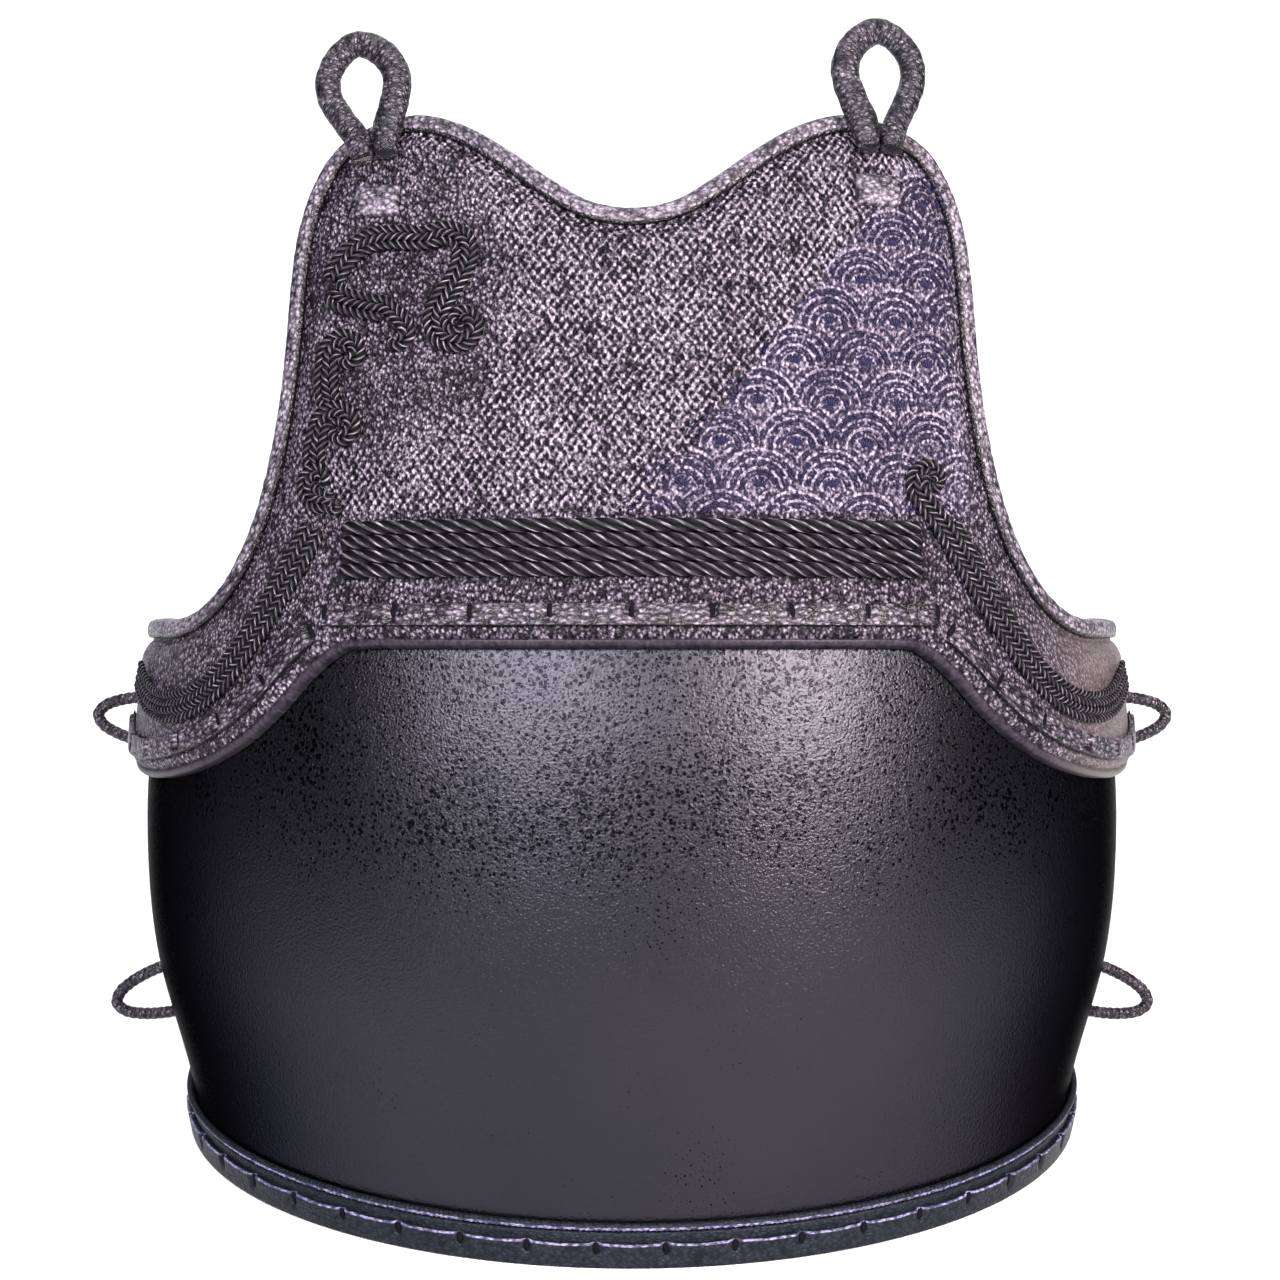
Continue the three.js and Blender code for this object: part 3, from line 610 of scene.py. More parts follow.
def buildRim():
    gap, inner = form["gap"], -form["shell"] - form["gap"]
    wrap = roundedSection([
        (0, inner - rim["leather"]), (0, gap + rim["leather"]), (rim["high"], gap + rim["leather"]),
        (rim["high"], gap), (rim["sole"], gap), (rim["sole"], inner), (rim["innerHigh"], inner),
        (rim["innerHigh"], inner - rim["leather"]),
    ], [0.9 * mm, 0.9 * mm, 0.9 * mm, 0.1 * mm, 0.1 * mm, 0.1 * mm, 0.1 * mm, 0.9 * mm])
    mesh = newMesh()
    sweepRim(mesh, 4 * mm, wrap, lambda f, lift, out: (lift, out))
    finishPiece("rim_binding", mesh, rimLeather)

    sides, radius = rim["pipingSides"], rim["piping"] / 2
    ring = [Vector((cos(2 * pi * k / sides), sin(2 * pi * k / sides))) * radius for k in range(sides + 1)]

    def ribbed(f, x, y):
        rib = abs(sin(pi * (f.at / rim["ribPitch"] + 0.15 * x / radius)))
        swell = 1 - rim["ribDeep"] * (1 - rib)
        return rim["high"] + gap + radius + x * swell, gap + radius + y * swell

    mesh = newMesh()
    sweepRim(mesh, rim["ribPitch"] / 4, ring, ribbed)
    finishPiece("rim_piping", mesh, pipingLeather)

    wide, thick = rim["thongWide"], rim["thongThick"]
    strip = roundedSection([(0, 0), (wide, 0), (wide, thick), (0, thick)],
                           [0.1 * mm, 0.1 * mm, 0.5 * mm, 0.6 * mm])

    def laced(f, lift, out):
        fromSlit = (f.share * rim["slits"] + 0.5) % 1 - 0.5
        dive = hump(fromSlit * rim["slitPitch"], rim["diveReach"]) * ease(wide * 0.3, wide * 0.8, lift)
        sag = rim["sag"] * cos(2 * pi * fromSlit) * ease(wide * 0.5, wide, lift)
        return rim["thongLift"] + lift + sag, gap * 2 + rim["leather"] + out - rim["dive"] * dive

    mesh = newMesh()
    sweepRim(mesh, 1.1 * mm, strip, laced)
    finishPiece("rim_thong", mesh, edgedLeather, sharp=35)

    # dark lenses of painted shade in the thong's slits
    mesh = newMesh()
    for k in range(1, rim["slits"]):
        turn = form["backTurn"] * (2 * k / rim["slits"] - 1)
        height = rimPlace(turn, rim["leather"] + thick, rim["slitLift"])
        point, sideways, rise, out = formFrame(turn, height)
        slit = Frame(point, sideways.normalized(), rise.normalized(), out, 0, 0, turn, height)
        addLens(mesh, slit, gap + rim["leather"] + thick * 0.62, *rim["slit"])
    finishPiece("rim_slits", mesh, slitDark, node="")


buildRim()

# Thongs laced along the plate's lower border, and dark lenses of painted shade in the slits that they pass
# through
lacing = {"inset": 11.1 * mm, "wide": 8.2 * mm, "thick": 1.9 * mm, "cornerTurn": 34.6,
          "lap": 0.4, "endTurn": 86, "step": 1.2 * mm, "pitch": 28 * mm, "dive": 2.6 * mm,
          "diveReach": 1.5 * mm, "bow": 0.35 * mm, "narrowing": 0.12,
          "slitUp": 1.312 * mm, "slitLift": 0.3 * mm, "slit": (2.6 * mm, 6.56 * mm, 1.3 * mm)}


def thongRoutes():
    height = form["border"] + lacing["inset"]
    corner = lacing["cornerTurn"]
    start, end = (shareOfTurn(lowerEdge, turn) for turn in (corner - lacing["lap"], lacing["endTurn"]))
    beneath, step = insetLine(lowerEdge, lacing["inset"]), lacing["step"]
    return {
        "thong_centre": route(lambda share: (mix(-corner, corner, share), height), step),
        "thong_wing_right": route(beneath, step, start, end),
        "thong_wing_left": route(beneath, step, 1 - end, 1 - start),
    }


def slitCount(frames):
    return max(1, round(frames[-1].at / lacing["pitch"]))


def slitFrames(frames):
    count = slitCount(frames)
    return [frames[round(k * (len(frames) - 1) / count)] for k in range(count + 1)]


thongs = thongRoutes()
slits = [f for frames in thongs.values() for f in slitFrames(frames)]


def buildThongs():
    wide, thick = lacing["wide"], lacing["thick"]
    strip = roundedSection([(-wide / 2, 0), (wide / 2, 0), (wide / 2, thick), (-wide / 2, thick)],
                           [0.1 * mm, 0.1 * mm, 0.7 * mm, 0.7 * mm])
    for name, frames in thongs.items():
        def place(f, across, out):
            fromSlit = (f.share * slitCount(frames) + 0.5) % 1 - 0.5
            dive = hump(fromSlit * lacing["pitch"], lacing["diveReach"])
            dive *= ease(-wide * 0.5, wide * 0.05, across)
            across *= 1 - lacing["narrowing"] * dive
            out += trimBase + lacing["bow"] * cos(pi * fromSlit) * (out > 0) - lacing["dive"] * dive
            return f.point + f.across * across + f.out * out

        mesh = newMesh()
        addSection(mesh, frames, strip, place)
        finishPiece(name, mesh, thongLeather, sharp=40)
    # dark lenses of painted shade in the slits
    mesh = newMesh()
    for f in slits:
        raised = f._replace(point=f.point + f.across * lacing["slitUp"])
        addLens(mesh, raised, trimBase + lacing["slitLift"], *lacing["slit"])
    finishPiece("lacing_slits", mesh, slitDark, node="")


buildThongs()

# Chest plate: padded leather, its upper edge thin inside the binding
plate = {
    "columns": 300, "fieldRows": 56, "fieldStart": 9.5 * mm, "fieldRise": 8 * mm, "edgeShare": 0.484,
    "topInsets": (7 * mm, 2 * mm), "backRows": 14, "endShares": (0.55, 0.8, 0.93, 1),
    "uneven": 0.3 * mm, "pucker": 1.0 * mm, "puckerReach": 2.6 * mm, "puckerBelow": 1.2 * mm,
    "cutShare": 0.035,  # share of the length over which the rows turn into the end's cut
    "border": [  # distance from the lower border, share of the thickness
        (0, 0.32), (0.4, 0.56), (1.1, 0.74), (2, 0.81), (2.9, 0.78), (3.3, 0.7), (3.8, 0.76),
        (4.6, 0.9), (5.8, 0.99), (7, 1), (9, 1), (11, 1), (13, 1), (15, 1), (17, 1), (19, 1),
    ],
}


def upperRows():  # distance from the upper edge, share of the thickness
    rows = []
    for k in range(9):
        rise = mix(plate["edgeShare"], 1, sin(pi / 2 * (1 - k / 8)) ** 0.7)
        rows.append((plate["fieldStart"] + plate["fieldRise"] * (1 - k / 8), rise))
    return rows + [(inset, plate["edgeShare"]) for inset in plate["topInsets"]]


def plateColumn(share, border, upper):  # places of its rows at a share of the plate's length
    low, top = frameAt(lowerEdge, share), frameAt(upperEdge, share)
    start = [slide(low.turn, low.height, low.across * inset) for inset, _ in border]
    end = [slide(top.turn, top.height, -top.across * inset) for inset, _ in upper]
    (turn, height), (endTurn, endHeight), count = start[-1], end[0], plate["fieldRows"]
    field = [(mix(turn, endTurn, r / count), mix(height, endHeight, r / count)) for r in range(1, count)]
    cut = clamp(1 - min(share, 1 - share) / plate["cutShare"])
    places = []
    for turn, height in start + field + end:
        up = (height - low.height) / (top.height - low.height)
        places.append((mix(turn, mix(low.turn, top.turn, up), cut), height))
    return places


def buildChestPlate():
    border = [(inset * mm, thick) for inset, thick in plate["border"]]
    upper = upperRows()
    thicks = [thick for _, thick in border] + [1] * (plate["fieldRows"] - 1) + [thick for _, thick in upper]
    last = plate["columns"]
    columns = [plateColumn(k / last, border, upper) for k in range(last + 1)]
    below = lacing["wide"] / 2 + plate["puckerBelow"]
    puckers = [f.point + f.out * trimBase - f.across * below for f in slits]
    rows = len(thicks)
    back = [round(k * (rows - 1) / plate["backRows"]) for k in range(plate["backRows"] + 1)]
    section = [(r, True) for r in range(rows)] + [(r, False) for r in reversed(back)] + [(0, True)]

    def place(column, k):
        row, front = section[k]
        point, _, _, out = formFrame(*columns[column][row])
        if not front:
            return point + out * form["seat"]
        share = thicks[row] * plate["endShares"][min(column, last - column, 3)]
        thick = form["plate"] * share
        if share > 0.9:
            thick += (noise.noise(point * 55) * 0.7 + noise.noise(point * 140) * 0.3) * plate["uneven"]
        if row < len(border):
            face = point + out * trimBase
            near = min((face - pucker).length for pucker in puckers)
            thick += plate["pucker"] * hump(near, plate["puckerReach"])
        return point + out * (form["seat"] + thick)

    def uvOf(column, k):
        turn, height = columns[column][section[k][0]]
        return turn * degreeLength * 1.1, height

    def insetOf(k):  # distance from the lower border, 1 far off, 0 behind
        row, front = section[k]
        return front * (border[row][0] if row < len(border) else 1.0)

    mesh = newMesh()
    addSweep(mesh, range(last + 1), len(section) - 1, place, uvOf=uvOf, insetOf=insetOf)
    piece = finishPiece("chest_plate", mesh, quiltedLeather(), sharp=70)


quilt = {
    "pitch": 3.45 * mm, "rowPitch": 4.6 * mm, "drift": 0.0016,
    "foot": 0.2735, "sides": (0.128, 0.140),  # where the quilting ends
    "plain": (-0.096, 0.356, 0.038, 0.022),  # middle, reach and fade of the plain leather
    "waves": (0.269, 1.3325),  # their border's height in the middle, and its slope
    "waveWide": 27.57 * mm, "waveHigh": 30.84 * mm, "waveReach": 14.8 * mm,
    "waveStarts": ((73.47 * mm, 0.4045), (59.69 * mm, 0.38908)),
    "ridge": 8.1 * mm, "ridgeStep": 3.38 * mm, "eye": (0.0040, 0.0052), "lip": (0.0029, 0.0034),
    "wing": (0.150, 0.225), "blue": (0.05, 0.045, 0.13), "brown": (0.105, 0.084, 0.078),
}


def waveDistance(shade, across, up):  # distance from the middle of the wave that shows at a point
    rises, distances = [], []
    for start, foot in quilt["waveStarts"]:
        x = shade.math("WRAP", across - start, quilt["waveWide"] / 2, -quilt["waveWide"] / 2)
        y = shade.math("WRAP", up - foot, quilt["waveHigh"], 0.0)
        rises.append(y)
        distances.append(shade.math("SQRT", x * x + y * y))
    first, second = distances
    firstLower = shade.math("GREATER_THAN", *rises)
    lower = second + (first - second) * firstLower
    upper = first + (second - first) * firstLower
    return upper + (lower - upper) * shade.math("LESS_THAN", lower, quilt["waveReach"])


def quiltedLeather():
    look = leatherLook["plate"]
    shade = Shade("quiltedLeather", {"Specular IOR Level": look.gloss})
    surface = shade.surface()
    wander = shade.noise(surface, 45, 3)
    drift = shade.noise(surface, 380, 1)
    across, up, _ = shade.axes(surface)
    waveAcross = shade.math("COSINE", (across + drift * quilt["drift"]) * (2 * pi / quilt["pitch"]))
    waveUp = shade.math("COSINE", (up + drift * quilt["drift"]) * (2 * pi / quilt["rowPitch"]))
    middleAcross, middleUp, reach, fade = quilt["plain"]
    away = shade.math("SQRT", (across - middleAcross) ** 2 + ((up - middleUp) * 0.8) ** 2)
    mask = shade.between(quilt["foot"] - 0.001, quilt["foot"], up)
    mask = mask * shade.between(reach, reach + fade, away)
    mask = mask * (1 - shade.between(*quilt["sides"], shade.math("ABSOLUTE", across)))
    start, slope = quilt["waves"]
    waves = shade.between(0.0, 0.004, across * slope + start - up) * mask
    lumps = waveAcross * waveUp * mask * (1 - waves)
    away = waveDistance(shade, across, up)
    ridges = shade.math("COSINE", (away - quilt["ridge"]) * (2 * pi / quilt["ridgeStep"]))
    ridges = (shade.between(-0.3, 0.9, ridges) - 0.35) * shade.between(*quilt["eye"], away) * waves
    pebbles, creases, fine = leatherGrain(shade, surface, look)
    wing = shade.between(*quilt["wing"], across)
    inset = shade.node("ShaderNodeAttribute", {"attribute_name": "inset"}, take=2)
    lip = 1 - shade.between(*quilt["lip"], inset)  # the lower border and the back are smooth
    grain = (pebbles * 0.4 + fine * 0.6 - 0.565) * (1 - wing * 0.5) + wander * 0.2 + 0.36
    # the quilting lumps are lighter on the puckers and darker between them, painted highlight and painted
    # shade; the ridges between the waves' stitches are painted highlight
    grain = grain + lumps * 0.14 + ridges * 0.15 + wing * 0.02 + (1 - mask) * look.lift
    grain = grain * (1 - lip * 0.85) + lip * 0.27
    relief = (creases * 0.4 + lumps * 0.55 + ridges * 0.44) * (1 - lip) + grain
    color = shade.tones(look.tones, grain)
    color = shade.tint(waves * 0.1, color, quilt["blue"])
    color = shade.tint(wing * 0.45, color, quilt["brown"])
    return shade.finish(color, look.rough - grain * 0.1, relief, look.depth, look.strength)


buildChestPlate()

# Edge binding: rolled leather from one wing's back, over the shoulders, to the other's
binding = {"wide": 8.4 * mm, "wrap": 1.7 * mm, "leather": 1.5 * mm, "crest": 1.2 * mm,
           "uneven": 0.4 * mm}


def buildEdgeBinding():
    wide, leather = binding["wide"], binding["leather"]
    lipBottom = form["seat"] - form["gap"]
    lipTop = form["seat"] + form["plate"] * plate["edgeShare"] + form["gap"]
    crest = lipTop + leather + binding["crest"]
    section = roundedSection([
        (-wide, lipTop), (-wide, lipTop + leather), (-wide * 0.72, crest), (-wide * 0.22, crest - 0.3 * mm),
        (0, lipTop / 2), (-wide * 0.15, -leather), (-wide, -leather), (-wide, lipBottom),
        (-binding["wrap"], lipBottom), (-binding["wrap"], lipTop),
    ], [0.1 * mm, 0.5 * mm, 2 * mm, 2 * mm, 1.2 * mm, 1 * mm, 0.6 * mm, 0.1 * mm, 0.1 * mm, 0.1 * mm])

    def place(f, across, out):
        if out > lipTop + 0.1 * mm:
            out += noise.noise(Vector((f.at * 300, across * 120, 3))) * binding["uneven"]
        return f.point + f.across * across + f.out * out

    mesh = newMesh()
    addSection(mesh, route(upperEdge, 1.4 * mm, samples=900), section, place)
    finishPiece("edge_binding", mesh, bindingLeather)


buildEdgeBinding()
print("leather laid")

# Twisted cords: a section of a few strands that turns as it goes
twist = {"sides": 6, "step": 0.9 * mm, "creasing": 0.3, "tip": 2 * mm}  # sides for each strand


def addCord(mesh, frames, look, way, across=0.0, strands=3):
    length, radius, squash = frames[-1].at, look["radius"], look["squash"]
    sides = strands * twist["sides"]

    def phase(f, k):
        return strands * k / sides + way * f.at / look["strandPitch"]

    def place(f, k):
        angle = 2 * pi * k / sides
        groove = (1 - abs(sin(pi * phase(f, k)))) ** 1.5
        taper = 0.3 + 0.7 * clamp(min(f.at, length - f.at) / twist["tip"]) ** 0.5
        reach = radius * (1 - twist["creasing"] * groove) * taper
        return (f.point + f.across * (across + cos(angle) * reach)
                + f.out * (trimBase + radius * squash + sin(angle) * reach * squash))

    addSweep(mesh, frames, sides, place, uvOf=lambda f, k: (phase(f, k), f.at / (2 * radius)))


braid = {"rows": 4, "pitch": 5.25 * mm, "start": 27.2 * mm, "turns": (-32.8, -16, 0, 16, 32.8),
         "radius": 2.7 * mm, "strandPitches": (5.6 * mm, 7.2 * mm), "squash": 0.62, "strands": 4}
for row in range(braid["rows"]):
    height = form["border"] + braid["start"] + row * braid["pitch"]
    line = placesLine([(turn, height) for turn in braid["turns"]])
    look = {**braid, "strandPitch": braid["strandPitches"][row % 2]}
    mesh = newMesh()
    addCord(mesh, route(line, twist["step"]), look, -1, strands=braid["strands"])
    finishPiece(f"braid_row_{row + 1}", mesh, cordMaterial)


# Scrolls: cords that lie side by side and wind in together to a curl
def windIn(centre, radius, first, way, spacing, k):  # places of cord k of a packed spiral of three
    reach, turnIn = radius - spacing * k, 3 * spacing
    last = (reach - 0.45 * spacing) / turnIn * 360
    count = round(last / 20)
    places = []
    for i in range(count + 1 if count else 0):
        angle = radians(first + way * last * i / count)
        r = reach - turnIn * last / 360 * i / count
        places.append(beside(*centre, cos(angle) * r, sin(angle) * r))
    return places


def addScroll(mesh, look, places, centre, radius, first, way, offsets):
    frames = route(placesLine(places), 5 * mm)
    for k, offset in enumerate(offsets):
        line = [slide(f.turn, f.height, f.across * offset) for f in frames]
        line += windIn(centre, radius, first, way, look["spacing"], k)
        addCord(mesh, route(placesLine(line), twist["step"]), look, (-1, 1)[k % 2])


# Cords down the wings, four side by side; the right band ends in a curl
wingCord = {
    "foot": form["border"] - form["wingDrop"], "reach": 0.1, "cords": 4, "spacing": 3.05 * mm,
    "radius": 1.65 * mm, "strandPitch": 2.9 * mm, "squash": 0.82,
    "curl": (0.6 * mm, 9.4 * mm, 10.2 * mm, 220),  # across and up from the top, radius, angle
    "line": [  # turn, share of the reach over the wing's foot
        (34.3, 1.03), (36.5, 0.96), (38.5, 0.86), (40.6, 0.755), (44.4, 0.575), (49.3, 0.405),
        (54.4, 0.315), (60.5, 0.28), (67, 0.3), (72.5, 0.36), (76, 0.41),
    ],
}


def buildWingCords():
    places = [(turn, wingCord["foot"] + up * wingCord["reach"]) for turn, up in wingCord["line"]]
    middle = (wingCord["cords"] - 1) / 2
    offsets = [(k - middle) * wingCord["spacing"] for k in range(wingCord["cords"])]
    mesh = newMesh()
    frames = route(placesLine([(-turn, height) for turn, height in places[1:]]), twist["step"])
    for k, offset in enumerate(offsets):
        addCord(mesh, frames, wingCord, (-1, 1)[k % 2], offset)
    finishPiece("wing_cord_left", mesh, cordMaterial)

    across, up, radius, first = wingCord["curl"]
    mesh = newMesh()
    addScroll(mesh, wingCord, places[:1:-1] + [places[1]], beside(*places[0], across, up), radius, first,
              -1, offsets[::-1])
    finishPiece("wing_cord_right", mesh, cordMaterial)


buildWingCords()

# Cloud ornament: bands of three cords that run from scroll to scroll
cloud = {
    "top": 0.381, "high": 0.108, "spacing": 3.3 * mm, "radius": 1.78 * mm, "strandPitch": 2.9 * mm,
    "squash": 0.85,
    "scrolls": [  # places (turn, down), then middle, radius in mm, angle, way
        ([(-35.2, 0.185), (-34.2, 0.137), (-32.8, 0.09), (-30.1, 0.047), (-26.5, 0.042), (-23.4, 0.05),
          (-20.6, 0.035), (-18.5, 0.078), (-18.7, 0.153)], (-18.9, 0.35), 13.4, 138, 1),
        ([(-35.2, 0.21), (-34.0, 0.247), (-31.4, 0.272), (-28.1, 0.292)], (-26.6, 0.39), 7.6, 50, -1),
        ([(-35.0, 0.62), (-35.6, 0.55), (-35.5, 0.49)], (-32.9, 0.447), 11.2, 185, -1),
        ([(-36.9, 0.83), (-37.0, 0.78)], (-33.6, 0.706), 12.2, 185, -1),
        ([(-33.5, 0.95), (-34.3, 0.965)], (-36.2, 0.885), 11.0, 290, -1),
    ],
}


def cloudPlace(turn, down):
    return turn, cloud["top"] - down * cloud["high"]


def buildCloud():
    mesh = newMesh()
    spacing = cloud["spacing"]
    for places, centre, radius, first, way in cloud["scrolls"]:
        addScroll(mesh, cloud, [cloudPlace(*place) for place in places], cloudPlace(*centre), radius * mm,
                  first, way, (-way * spacing, 0, way * spacing))
    finishPiece("cloud_cord", mesh, cordMaterial)


buildCloud()
print("cords laid")

# Waves stitched in thread over the right of the chest
wave = {
    "turns": (22.25, 8.35), "top": 0.4045, "step": 15.42 * mm, "rows": 10, "edge": (0.272, 0.0044),
    "radii": (6.4 * mm, 9.8 * mm, 13.1 * mm), "arcs": ((6, 174), (4, 176), (18, 162)),
    "thread": 0.95 * mm, "stitch": 2.7 * mm, "pair": 1.4 * mm, "gap": 1.1 * mm, "raised": 0.4 * mm,
    "fan": (-38, -19, 0, 19, 38), "fanRadius": 3 * mm, "fanStitch": 4.4 * mm,
    "limits": (38.2, 0.2732, 0.4035),  # highest turn, foot, top
    "clear": [(28.7, 0.3955, 11 * mm), (34.2, 0.289, 13.5 * mm)],  # no stitches round these places
}


def addStitch(mesh, centre, away, angle, turned, length):  # away from a centre, turned from that way
    turn, height = beside(*centre, cos(angle) * away, sin(angle) * away)
    mostTurn, foot, top = wave["limits"]
    if turn > mostTurn or not foot < height < top:
        return
    point, sideways, rise, out = formFrame(turn, height)
    if any((point - onForm(*clear[:2], 0)).length < clear[2] for clear in wave["clear"]):
        return
    along = sideways.normalized() * cos(angle + turned) + rise.normalized() * sin(angle + turned)
    across = out.cross(along)
    width = wave["thread"]
    lift = form["plate"] + form["seat"] + wave["raised"]
    for vert in bmesh.ops.create_icosphere(mesh, subdivisions=1, radius=0.5)["verts"]:
        x, y, z = vert.co
        vert.co = point + along * x * length + across * y * width + out * (lift + z * width)


def addWave(mesh, centre):
    for lean in wave["fan"]:
        addStitch(mesh, centre, wave["fanRadius"], radians(90 + lean), 0, wave["fanStitch"])
    for radius, (low, high) in zip(wave["radii"], wave["arcs"]):
        for side in (-0.5, 0.5):
            r = radius + side * wave["pair"]
            count = round(radians(high - low) * r / (wave["stitch"] + wave["gap"]))
            for i in range(count):
                angle = radians(mix(low, high, (i + 0.5) / count))
                addStitch(mesh, centre, r, angle, pi / 2, wave["stitch"])


def buildWaves():
    mesh = newMesh()
    start, pitch = wave["turns"]
    least, slope = wave["edge"]
    for row in range(wave["rows"]):
        height = wave["top"] - row * wave["step"]
        for k in range(-4, 4):
            turn = start + (k - 0.5 * (row % 2)) * pitch
            if height <= least + slope * turn:
                addWave(mesh, (turn, height))
    finishPiece("wave_stitching", mesh, threadMaterial, "")


threadLook = {"dark": (0.001, 0.001, 0.006), "light": (0.016, 0.014, 0.050)}


def satinThread():
    shade = Shade("satinThread", {"Specular IOR Level": 0.12})
    tone = shade.noise(shade.solid(), 1400)
    color = shade.tint(tone, threadLook["dark"], threadLook["light"])
    return shade.finish(color, 0.5 - tone * 0.15, tone, 0.0002, 0.6)


threadMaterial = satinThread()
buildWaves()
print("waves stitched")

# Shoulder loops: rolled leather, thicker down one leg, on small padded keepers
shoulder = {
    "high": 52 * mm, "wide": 28 * mm, "cord": 8.8 * mm, "sides": 20, "seam": 0.7 * mm, "wrinkle": 0.3 * mm,
    "flat": (1.15, 0.18), "footLength": 14 * mm,  # how much wider than thick, and more on one leg
    "keeper": (17 * mm, 12.5 * mm, 2.4 * mm), "crown": 1.1 * mm, "bevel": 1.1 * mm,
    "teardrop": [(0, 0.335), (0.2, 0.45), (0.42, 0.8), (0.62, 1), (0.8, 0.88), (0.94, 0.47), (1, 0)],
    "loops": [  # side, turn, foot, keeper, lean, thicker leg
        ("left", -29.6, 0.951, 0.9137, -11, 1), ("right", 28.7, 0.958, 0.923, 1, -1),
    ],
}


def buildShoulderLoop(side, turn, foot, lean, thicker):
    point, sideways, rise, out = formFrame(turn, foot * form["shoulder"])
    tilt = Matrix.Rotation(-radians(lean), 3, out)
    up = tilt @ rise.normalized() * shoulder["high"]
    right = tilt @ sideways.normalized() * shoulder["wide"] / 2
    seat = point + out * (trimBase + shoulder["cord"] / 2)
    legs = shoulder["teardrop"] + [(high, -wide) for high, wide in reversed(shoulder["teardrop"][:-1])]
    frames = tubeFrames([seat + up * high + right * wide for high, wide in legs], 1 * mm, out)
    sides = shoulder["sides"]

    def place(f, k):
        angle = 2 * pi * k / sides
        end = min(f.share, 1 - f.share) * frames[-1].at
        radius = shoulder["cord"] / 2 * (0.84 + 0.16 * clamp(end / (6 * mm)))
        flat, more = shoulder["flat"]
        wide = flat + more * clamp(thicker * (1 - 2 * f.share) + 0.3) * ease(0, shoulder["footLength"], end)
        radius *= 1 - 0.1 * hump((angle - pi) * radius, shoulder["seam"])  # on the inside
        wrinkle = noise.noise(Vector((f.at * 380, cos(angle) * 1.3, sin(angle) * 1.3)))
        radius += shoulder["wrinkle"] * wrinkle
        return f.point + f.across * cos(angle) * radius * wide + f.out * sin(angle) * radius

    mesh = newMesh()
    addSweep(mesh, frames, sides, place, 0.028)
    finishPiece("shoulder_loop_" + side, mesh, loopLeather)


def buildKeeper(side, turn, height):
    wide, long, thick = shoulder["keeper"]
    mesh = newMesh()
    bmesh.ops.create_cube(mesh, size=1)
    for vert in mesh.verts:
        vert.co = (vert.co.x * wide, vert.co.y * long, (vert.co.z + 0.5) * thick)
    upper = [edge for edge in mesh.edges if all(vert.co.z > 0 for vert in edge.verts)]
    upright = [edge for edge in mesh.edges if edge.verts[0].co.z != edge.verts[1].co.z]
    bmesh.ops.bevel(mesh, geom=upper + upright, offset=shoulder["bevel"], offset_type="OFFSET", segments=3,
                    profile=0.5, affect="EDGES", material=-1)
    bmesh.ops.subdivide_edges(mesh, edges=[edge for edge in mesh.edges if edge.calc_length() > 3 * mm],
                              cuts=5, use_grid_fill=True)
    uv = mesh.loops.layers.uv.active
    for face in mesh.faces:
        for loop in face.loops:
            loop[uv].uv = loop.vert.co.xy
    for vert in mesh.verts:
        x, y, z = vert.co
        crown = (1 - (2 * x / wide) ** 2) * (1 - (2 * y / long) ** 2) * (z > thick / 2)
        vert.co = onForm(*beside(turn, height, x, y), trimBase + z + shoulder["crown"] * crown)
    finishPiece("loop_keeper_" + side, mesh, keeperLeather)


for side, turn, foot, keeper, lean, thicker in shoulder["loops"]:
    buildShoulderLoop(side, turn, foot, lean, thicker)
    buildKeeper(side, turn, keeper * form["shoulder"])

# Side loops at the shell's back edges, thin round leather
sideLoop = {"turn": 99, "reach": 33 * mm, "high": 20.5 * mm, "cord": 5.3 * mm, "sides": 14,
            "twist": 3.1 * mm, "creasing": 0.16, "places": [("upper", 0.4504), ("lower", 0.1914)]}
for level, share in sideLoop["places"]:
    for side, name in ((-1, "left"), (1, "right")):
        point, _, rise, out = formFrame(side * sideLoop["turn"], share * form["shoulder"])
        up = rise.normalized()
        points = [point + out * (form["gap"] + sin(pi * k / 8) * sideLoop["reach"])
                  + up * cos(pi * k / 8) * sideLoop["high"] / 2 for k in range(9)]
        frames = tubeFrames(points, 1 * mm, out.cross(up))

        def place(f, k):
            angle = 2 * pi * k / sideLoop["sides"]
            strand = abs(sin(pi * f.at / sideLoop["twist"] + angle))
            radius = sideLoop["cord"] / 2 * (1 - sideLoop["creasing"] * (1 - strand))
            return f.point + f.across * cos(angle) * radius + f.out * sin(angle) * radius

        mesh = newMesh()
        addSweep(mesh, frames, sideLoop["sides"], place, 0.016)
        finishPiece(f"side_loop_{level}_{name}", mesh, loopLeather)
print("loops made")

# Floor, backdrop, lights and camera
studio = {"floorSize": 6.0, "floorColor": (0.74, 0.77, 0.79), "backing": (0.9, 0.9, 0.91, 1),
          "surrounding": (0.05, 0.048, 0.055, 1), "bend": 6, "bendStep": 0.26, "wallHigh": 3}


def extruded(mesh, edges, move):
    made = bmesh.ops.extrude_edge_only(mesh, edges=edges)["geom"]
    verts = [item for item in made if isinstance(item, bmesh.types.BMVert)]
    bmesh.ops.translate(mesh, verts=verts, vec=move)
    return [item for item in made if isinstance(item, bmesh.types.BMEdge)]


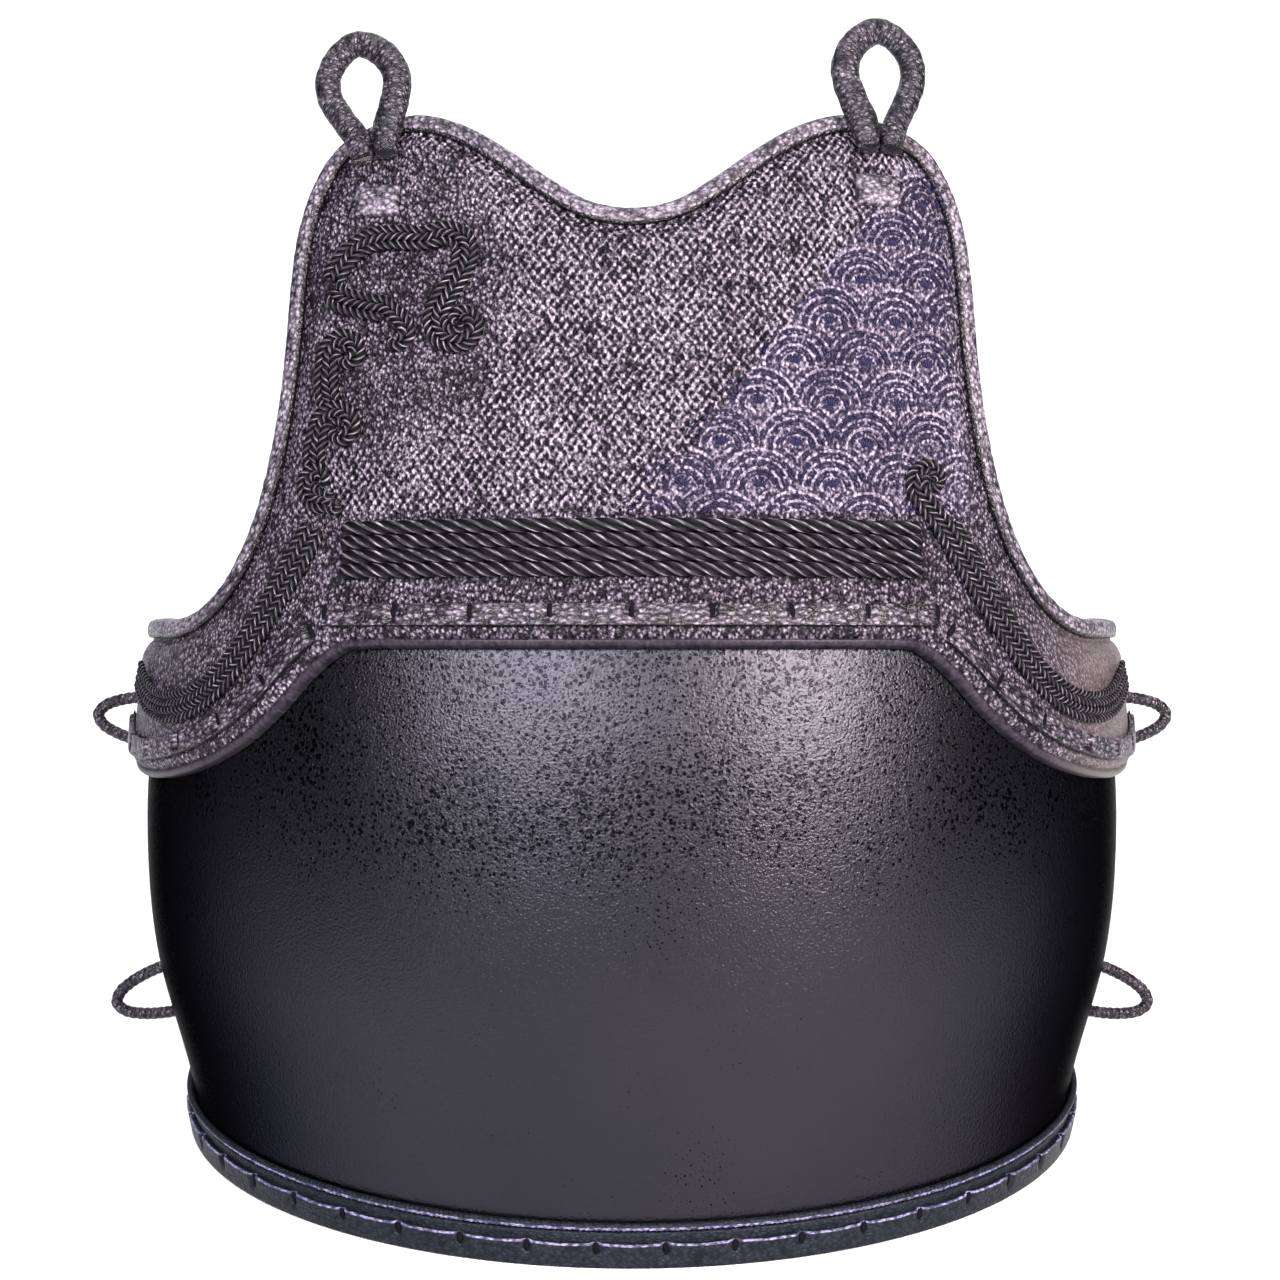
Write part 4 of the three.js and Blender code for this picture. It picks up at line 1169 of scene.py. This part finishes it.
def buildStudio():
    mesh = newMesh()
    bmesh.ops.create_grid(mesh, x_segments=2, y_segments=2, size=studio["floorSize"] / 2)
    edges = [edge for edge in mesh.edges if all(vert.co.y > 0.1 for vert in edge.verts)]
    for k in range(studio["bend"]):
        angle = radians(90 * (k + 0.5) / studio["bend"])
        edges = extruded(mesh, edges, (0, studio["bendStep"] * cos(angle), studio["bendStep"] * sin(angle)))
    extruded(mesh, edges, (0, 0, studio["wallHigh"]))
    paint = plainSkin("paleFloor", studio["floorColor"], studio["floorColor"], 0.9, 3)
    addObject("studioFloor", mesh, paint)

    world = bpy.data.worlds.new("studioWorld")
    world.use_nodes = True
    nodes, links = world.node_tree.nodes, world.node_tree.links
    backing, rays = nodes["Background"], nodes.new("ShaderNodeLightPath")
    choice = nodes.new("ShaderNodeMix")
    choice.data_type = "RGBA"
    choice.inputs[6].default_value = studio["surrounding"]
    choice.inputs[7].default_value = studio["backing"]
    links.new(rays.outputs["Is Camera Ray"], choice.inputs[0])
    links.new(choice.outputs[2], backing.inputs["Color"])
    bpy.context.scene.world = world


def addSoftLight(name, place, target, size, power, color=(1, 1, 1)):
    light = bpy.data.lights.new(name, "AREA")
    light.shape, light.size, light.size_y = "RECTANGLE", size[0], size[1]
    light.energy, light.color = power, color
    lamp = bpy.data.objects.new(name, light)
    lamp.location = place
    lamp.rotation_euler = (Vector(target) - Vector(place)).to_track_quat("-Z", "Y").to_euler()
    bpy.context.collection.objects.link(lamp)


buildStudio()
addSoftLight("keyLight", (-0.75, -1.85, 1.3), (0, 0, 0.25), (1.5, 0.7), 125, (1, 0.93, 0.97))
addSoftLight("warmLight", (1.2, -1.5, 1.12), (0, 0, 0.25), (0.9, 0.6), 135, (1, 0.87, 0.82))
addSoftLight("topLight", (0, 0.5, 2.3), (0, 0.3, 0), (3.0, 2.2), 34, (0.90, 0.97, 1))
addSoftLight("backLight", (0, 1.9, 2.6), (0, 3.6, 0.9), (3.5, 0.6), 90)
bpy.context.scene.view_settings.view_transform = "Standard"

view = {"distance": 1.25, "across": 0.0033, "up": 0.2278, "lens": 84.375}
camera = bpy.data.objects.new("camera", bpy.data.cameras.new("camera"))
camera.data.lens, camera.data.sensor_width = view["lens"], 36
camera.location = leaning @ Vector((view["across"], -view["distance"], view["up"])) + ontoFloor
camera.rotation_euler = (radians(90 - form["lean"]), 0, 0)
bpy.context.collection.objects.link(camera)
bpy.context.scene.camera = camera
print("studio set")
